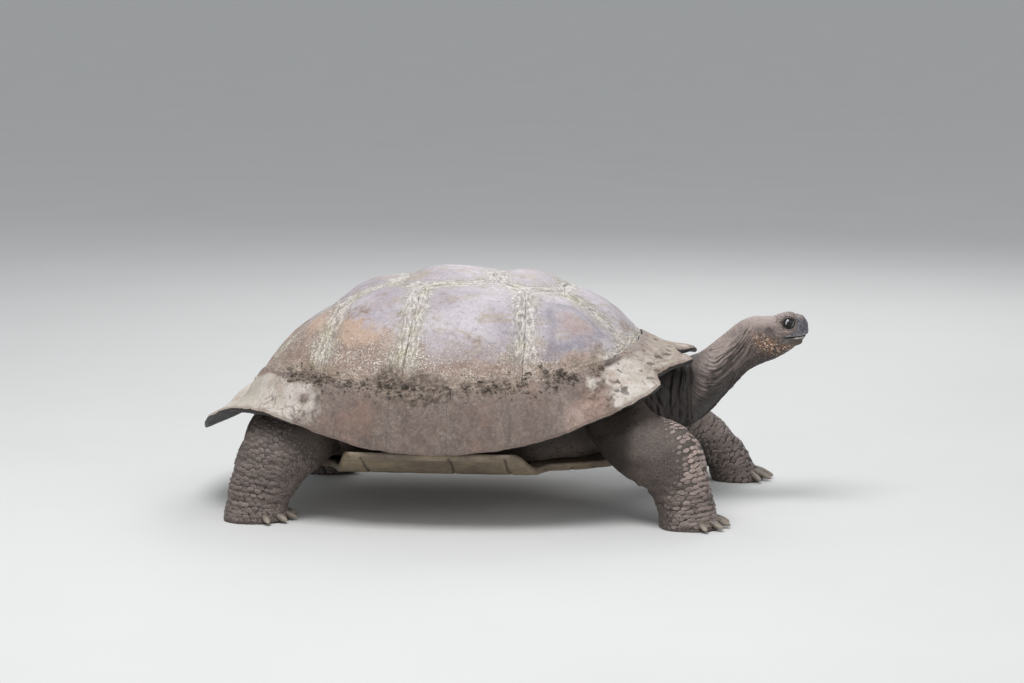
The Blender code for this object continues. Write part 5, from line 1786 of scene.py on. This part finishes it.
def scale_finish(name, face):
    """Scales in the skin's colours, each its own tone, paler where the field glow says, with painted shade at
    their edges.
    """
    s = Shading(name)
    tint, edge, glow = (s.field(field) for field in ("tint", "edge", "glow"))
    small = s.noise(120.0, 5.0, 0.65)
    colour = s.mix(s.step(s.noise(16.0, 5.0, 0.6), 0.3, 0.7), SKIN_BROWN, SKIN_WARM)
    if face:
        lit = s.times(glow, s.step(tint, 0.22, 0.42))
        rusty = s.mix(s.step(tint, 0.60, 0.72), CHEEK_ORANGE, PEACH)
        colour = s.coats(colour, (s.times(tint, 0.62), CHEEK_TAN), (lit, rusty))
    else:
        lit = s.times(glow, s.plus(0.45, s.times(tint, 0.5)))
        pale = s.mix(s.step(small, 0.35, 0.65), LEG_TAN, LEG_PALE)
        worn = s.step(edge, 0.60, 0.90, 0.0, 0.28)
        colour = s.coats(colour, (s.times(tint, 0.22), SKIN_PALE), (lit, pale), (worn, SKIN_PALE))
    # Painted shade in the gap round each scale's edge.
    colour = s.mix(s.step(edge, 0.93, 1.02, 0.0, 0.92), colour, CREASE_SHADE)
    colour = s.grained(colour, s.noise(330.0, 4.0, 0.7), 0.5, 0.2)
    normal = s.bump(s.noise(420.0, 4.0, 0.65), 0.0006, 0.5)
    return s.finish(colour, s.plus(0.42, s.times(small, 0.3)), normal)


def beak_finish(name):
    """Slate horn, worn pale and toothed along the lips."""
    s = Shading(name)
    lip, upper = s.field("lip"), s.field("upper")
    speckle = s.step(s.noise(230.0, 4.0, 0.6), 0.40, 0.66)
    above = s.mix(speckle, SNOUT_SLATE, SNOUT_PALE)
    above = s.mix(s.step(lip, 0.0015, 0.0050, 0.35, 0.0), above, SNOUT_EDGE)
    teeth = s.step(s.streaks((520.0, 520.0, 60.0), 2.0, 0.5), 0.40, 0.60)
    worn = s.times(s.step(lip, 0.0044, 0.0056, 1.0, 0.0), teeth)
    worn = s.times(worn, s.minus(1.0, s.times(upper, 0.85)), s.field("fore"))
    colour = s.coats(s.mix(speckle, JAW_HORN, JAW_HORN_PALE), (upper, above), (worn, JAW_WORN))
    normal = s.bump(s.streaks((160.0, 160.0, 500.0), 4.0, 0.6), 0.0005, 0.5)
    return s.finish(colour, s.plus(0.30, s.times(s.noise(160.0, 5.0, 0.6), 0.25)), normal)


def eye_finish(name):
    """A wet dark eye: black pupil, brown iris, and a pale ring painted as a highlight, broadest above and
    behind.
    """
    s = Shading(name)
    polar, lit = s.field("polar"), s.field("lit")
    iris = s.mix(s.noise(260.0, 4.0, 0.7), IRIS, IRIS_BROWN)
    # Painted highlight: a pale crescent behind and above the pupil, and a smaller patch in front and below.
    behind = s.times(s.step(lit, 0.20, 0.42), s.step(polar, 0.34, 0.46))
    below = s.times(s.step(lit, -0.62, -0.50, 0.6, 0.0), s.step(polar, 0.50, 0.58))
    ring = s.times(s.math("MAXIMUM", behind, below), s.step(polar, 0.70, 0.80, 1.0, 0.0), 0.9)
    pale = s.mix(s.step(s.noise(420.0), 0.3, 0.7), EYE_HIGHLIGHT, EYE_HIGHLIGHT_PALE)
    colour = s.mix(ring, s.mix(s.step(polar, 0.26, 0.31), PUPIL, iris), pale)
    return s.finish(colour, 0.25, Coat_Weight=0.75, Coat_Roughness=0.03, Specular_IOR_Level=0.0)


def claw_finish(name):
    """Dull horn, darker at the root and scuffed pale at the tip."""
    s = Shading(name)
    small = s.noise(120.0, 5.0, 0.6)
    colour = s.mix(s.step(s.field("tip"), 0.35, 0.95), CLAW_DARK, CLAW_PALE)
    colour = s.mix(s.step(small, 0.35, 0.7, 0.0, 0.5), colour, CLAW_SCUFF)
    normal = s.bump(s.noise(350.0, 5.0, 0.65), 0.0007, 0.6)
    return s.finish(colour, s.plus(0.35, s.times(small, 0.3)), normal)


def belly_finish(name):
    """Dull brown and horn-yellow plates with dark seams and mud stains."""
    s = Shading(name)
    small = s.noise(60.0, 5.0, 0.65)
    colour = s.coats(
        s.mix(s.step(s.noise(10.0, 5.0, 0.6), 0.35, 0.65), BELLY_BROWN, BELLY_YELLOW),
        (s.step(small, 0.45, 0.7, 0.0, 0.5), BELLY_STAIN),
        (s.step(s.field("seam"), 0.001, 0.005, 0.8, 0.0), CREVICE),
    )
    normal = s.bump(s.noise(180.0, 5.0, 0.65), 0.0012, 0.5)
    return s.finish(colour, s.plus(0.45, s.times(small, 0.25)), normal)


def mud_finish(name):
    """Crumbs of dried mud, dark with paler grains."""
    s = Shading(name)
    small = s.noise(150.0, 6.0, 0.7)
    colour = s.mix(s.step(s.noise(28.0), 0.35, 0.65), CRUMB_DARK, CRUMB_BROWN)
    colour = s.mix(s.step(small, 0.5, 0.75, 0.0, 0.5), colour, CRUMB_PALE)
    normal = s.bump(s.noise(500.0, 5.0, 0.7), 0.0008, 0.7)
    return s.finish(colour, s.plus(0.75, s.times(small, 0.2)), normal)


# The scene.

CAMERA_AZIMUTH, CAMERA_ELEVATION, CAMERA_DISTANCE = math.radians(6.0), math.radians(8.0), 6.5
AIM_RIGHT, AIM_HEIGHT = 0.132, 0.349
LENS = 103.15
FLOOR_RADIUS = 90.0
FLOOR_GREY, FLOOR_PALE = (0.60, 0.60, 0.59), (0.64, 0.64, 0.63)
SKY, SKY_STRENGTH = (0.93, 0.96, 1.0, 1.0), 0.52
LIT_POINT = Vector((0.0, 0.0, 0.25))  # the lamps face it
LAMPS = (  # name, place, size and watts
    ("key", (-0.6, -1.6, 4.2), 2.2, 150.0),
    ("fill", (3.0, -3.5, 1.6), 2.5, 28.0),
    ("back", (0.5, 3.5, 3.0), 2.5, 60.0),
)


def set_stage():
    """A pale floor, a soft sky and three lamps."""
    scene = bpy.context.scene
    scene.view_settings.view_transform = "Standard"
    floor_mesh = bpy.data.meshes.new("floor")
    bm = bmesh.new()
    bmesh.ops.create_circle(bm, cap_ends=True, segments=96, radius=FLOOR_RADIUS)
    bm.to_mesh(floor_mesh)
    bm.free()
    floor = bpy.data.objects.new("floor", floor_mesh)
    scene.collection.objects.link(floor)
    s = Shading("pale_floor")
    floor_mesh.materials.append(s.finish(s.mix(s.noise(2.0, 3.0), FLOOR_GREY, FLOOR_PALE), 0.9))

    world = bpy.data.worlds.new("soft_sky")
    world.use_nodes = True
    sky = world.node_tree.nodes["Background"]
    sky.inputs["Color"].default_value = SKY
    sky.inputs["Strength"].default_value = SKY_STRENGTH
    scene.world = world
    for name, place, size, watts in LAMPS:
        light = bpy.data.lights.new(name, "AREA")
        light.size = size
        light.energy = watts
        lamp = bpy.data.objects.new(name, light)
        lamp.location = place
        lamp.rotation_euler = (LIT_POINT - Vector(place)).to_track_quat("-Z", "Y").to_euler()
        scene.collection.objects.link(lamp)


def set_camera():
    """The camera of the photo: a little above the animal, which it sees from its right."""
    a, e = CAMERA_AZIMUTH, CAMERA_ELEVATION
    right = Vector((math.cos(a), math.sin(a), 0.0))
    ahead = Vector((-math.sin(a) * math.cos(e), math.cos(a) * math.cos(e), -math.sin(e)))
    aim = Vector((SHIFT[0], 0.0, AIM_HEIGHT)) + right * AIM_RIGHT
    camera = bpy.data.objects.new("camera", bpy.data.cameras.new("camera"))
    camera.data.lens = LENS
    camera.location = aim - ahead * CAMERA_DISTANCE
    camera.rotation_mode = "QUATERNION"
    camera.rotation_quaternion = ahead.to_track_quat("-Z", "Y")
    bpy.context.scene.collection.objects.link(camera)
    bpy.context.scene.camera = camera


set_camera()
set_stage()
big_finish, rim_finish = shell_finish("worn_keratin", False), shell_finish("rim_keratin", True)
for plate_name, plate_outline in plate_outlines():
    big = plate_name.startswith(("vertebral", "costal"))
    shell_plate(plate_name, plate_outline, big_finish if big else rim_finish)

make_plastron(belly_finish("belly_keratin"))
make_mud(mud_finish("mud_crumbs"))

skin_mesh, skin_points, skin_fields = make_skin()
skin_faces = [tuple(face.vertices) for face in skin_mesh.polygons]
skin_surface = BVHTree.FromPolygons(skin_points.tolist(), skin_faces)
make_beak(skin_mesh, skin_points, normals_of(skin_mesh), beak_finish("horn_beak"))
for side_name, side_sign in (("right", -1), ("left", 1)):
    make_eye(side_name, side_sign, eye_finish(f"wet_eye_{side_name}"))
claw_horn, leg_scales = claw_finish("claw_horn"), scale_finish("leg_scales", False)
for leg_index, (leg_name, _, _, claw_count, heading) in enumerate(LEGS):
    tube = LIMBS[leg_name]
    make_claws(f"{leg_name}_claws", f"{leg_name}_foot", tube, claw_count, heading, claw_horn)
    fore = leg_name.startswith("fore")
    make_leg_scales(f"{leg_name}_scales", tube, leg_index, fore, skin_surface, leg_scales)
make_face_scales(skin_surface, scale_finish("small_scales", True))
flesh_nodes = [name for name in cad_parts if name.startswith(FLESH)]
thin_out(dress(skin_mesh, "skin", skin_finish("hide"), flesh_nodes, skin_fields), SKIN_TRIANGLES)
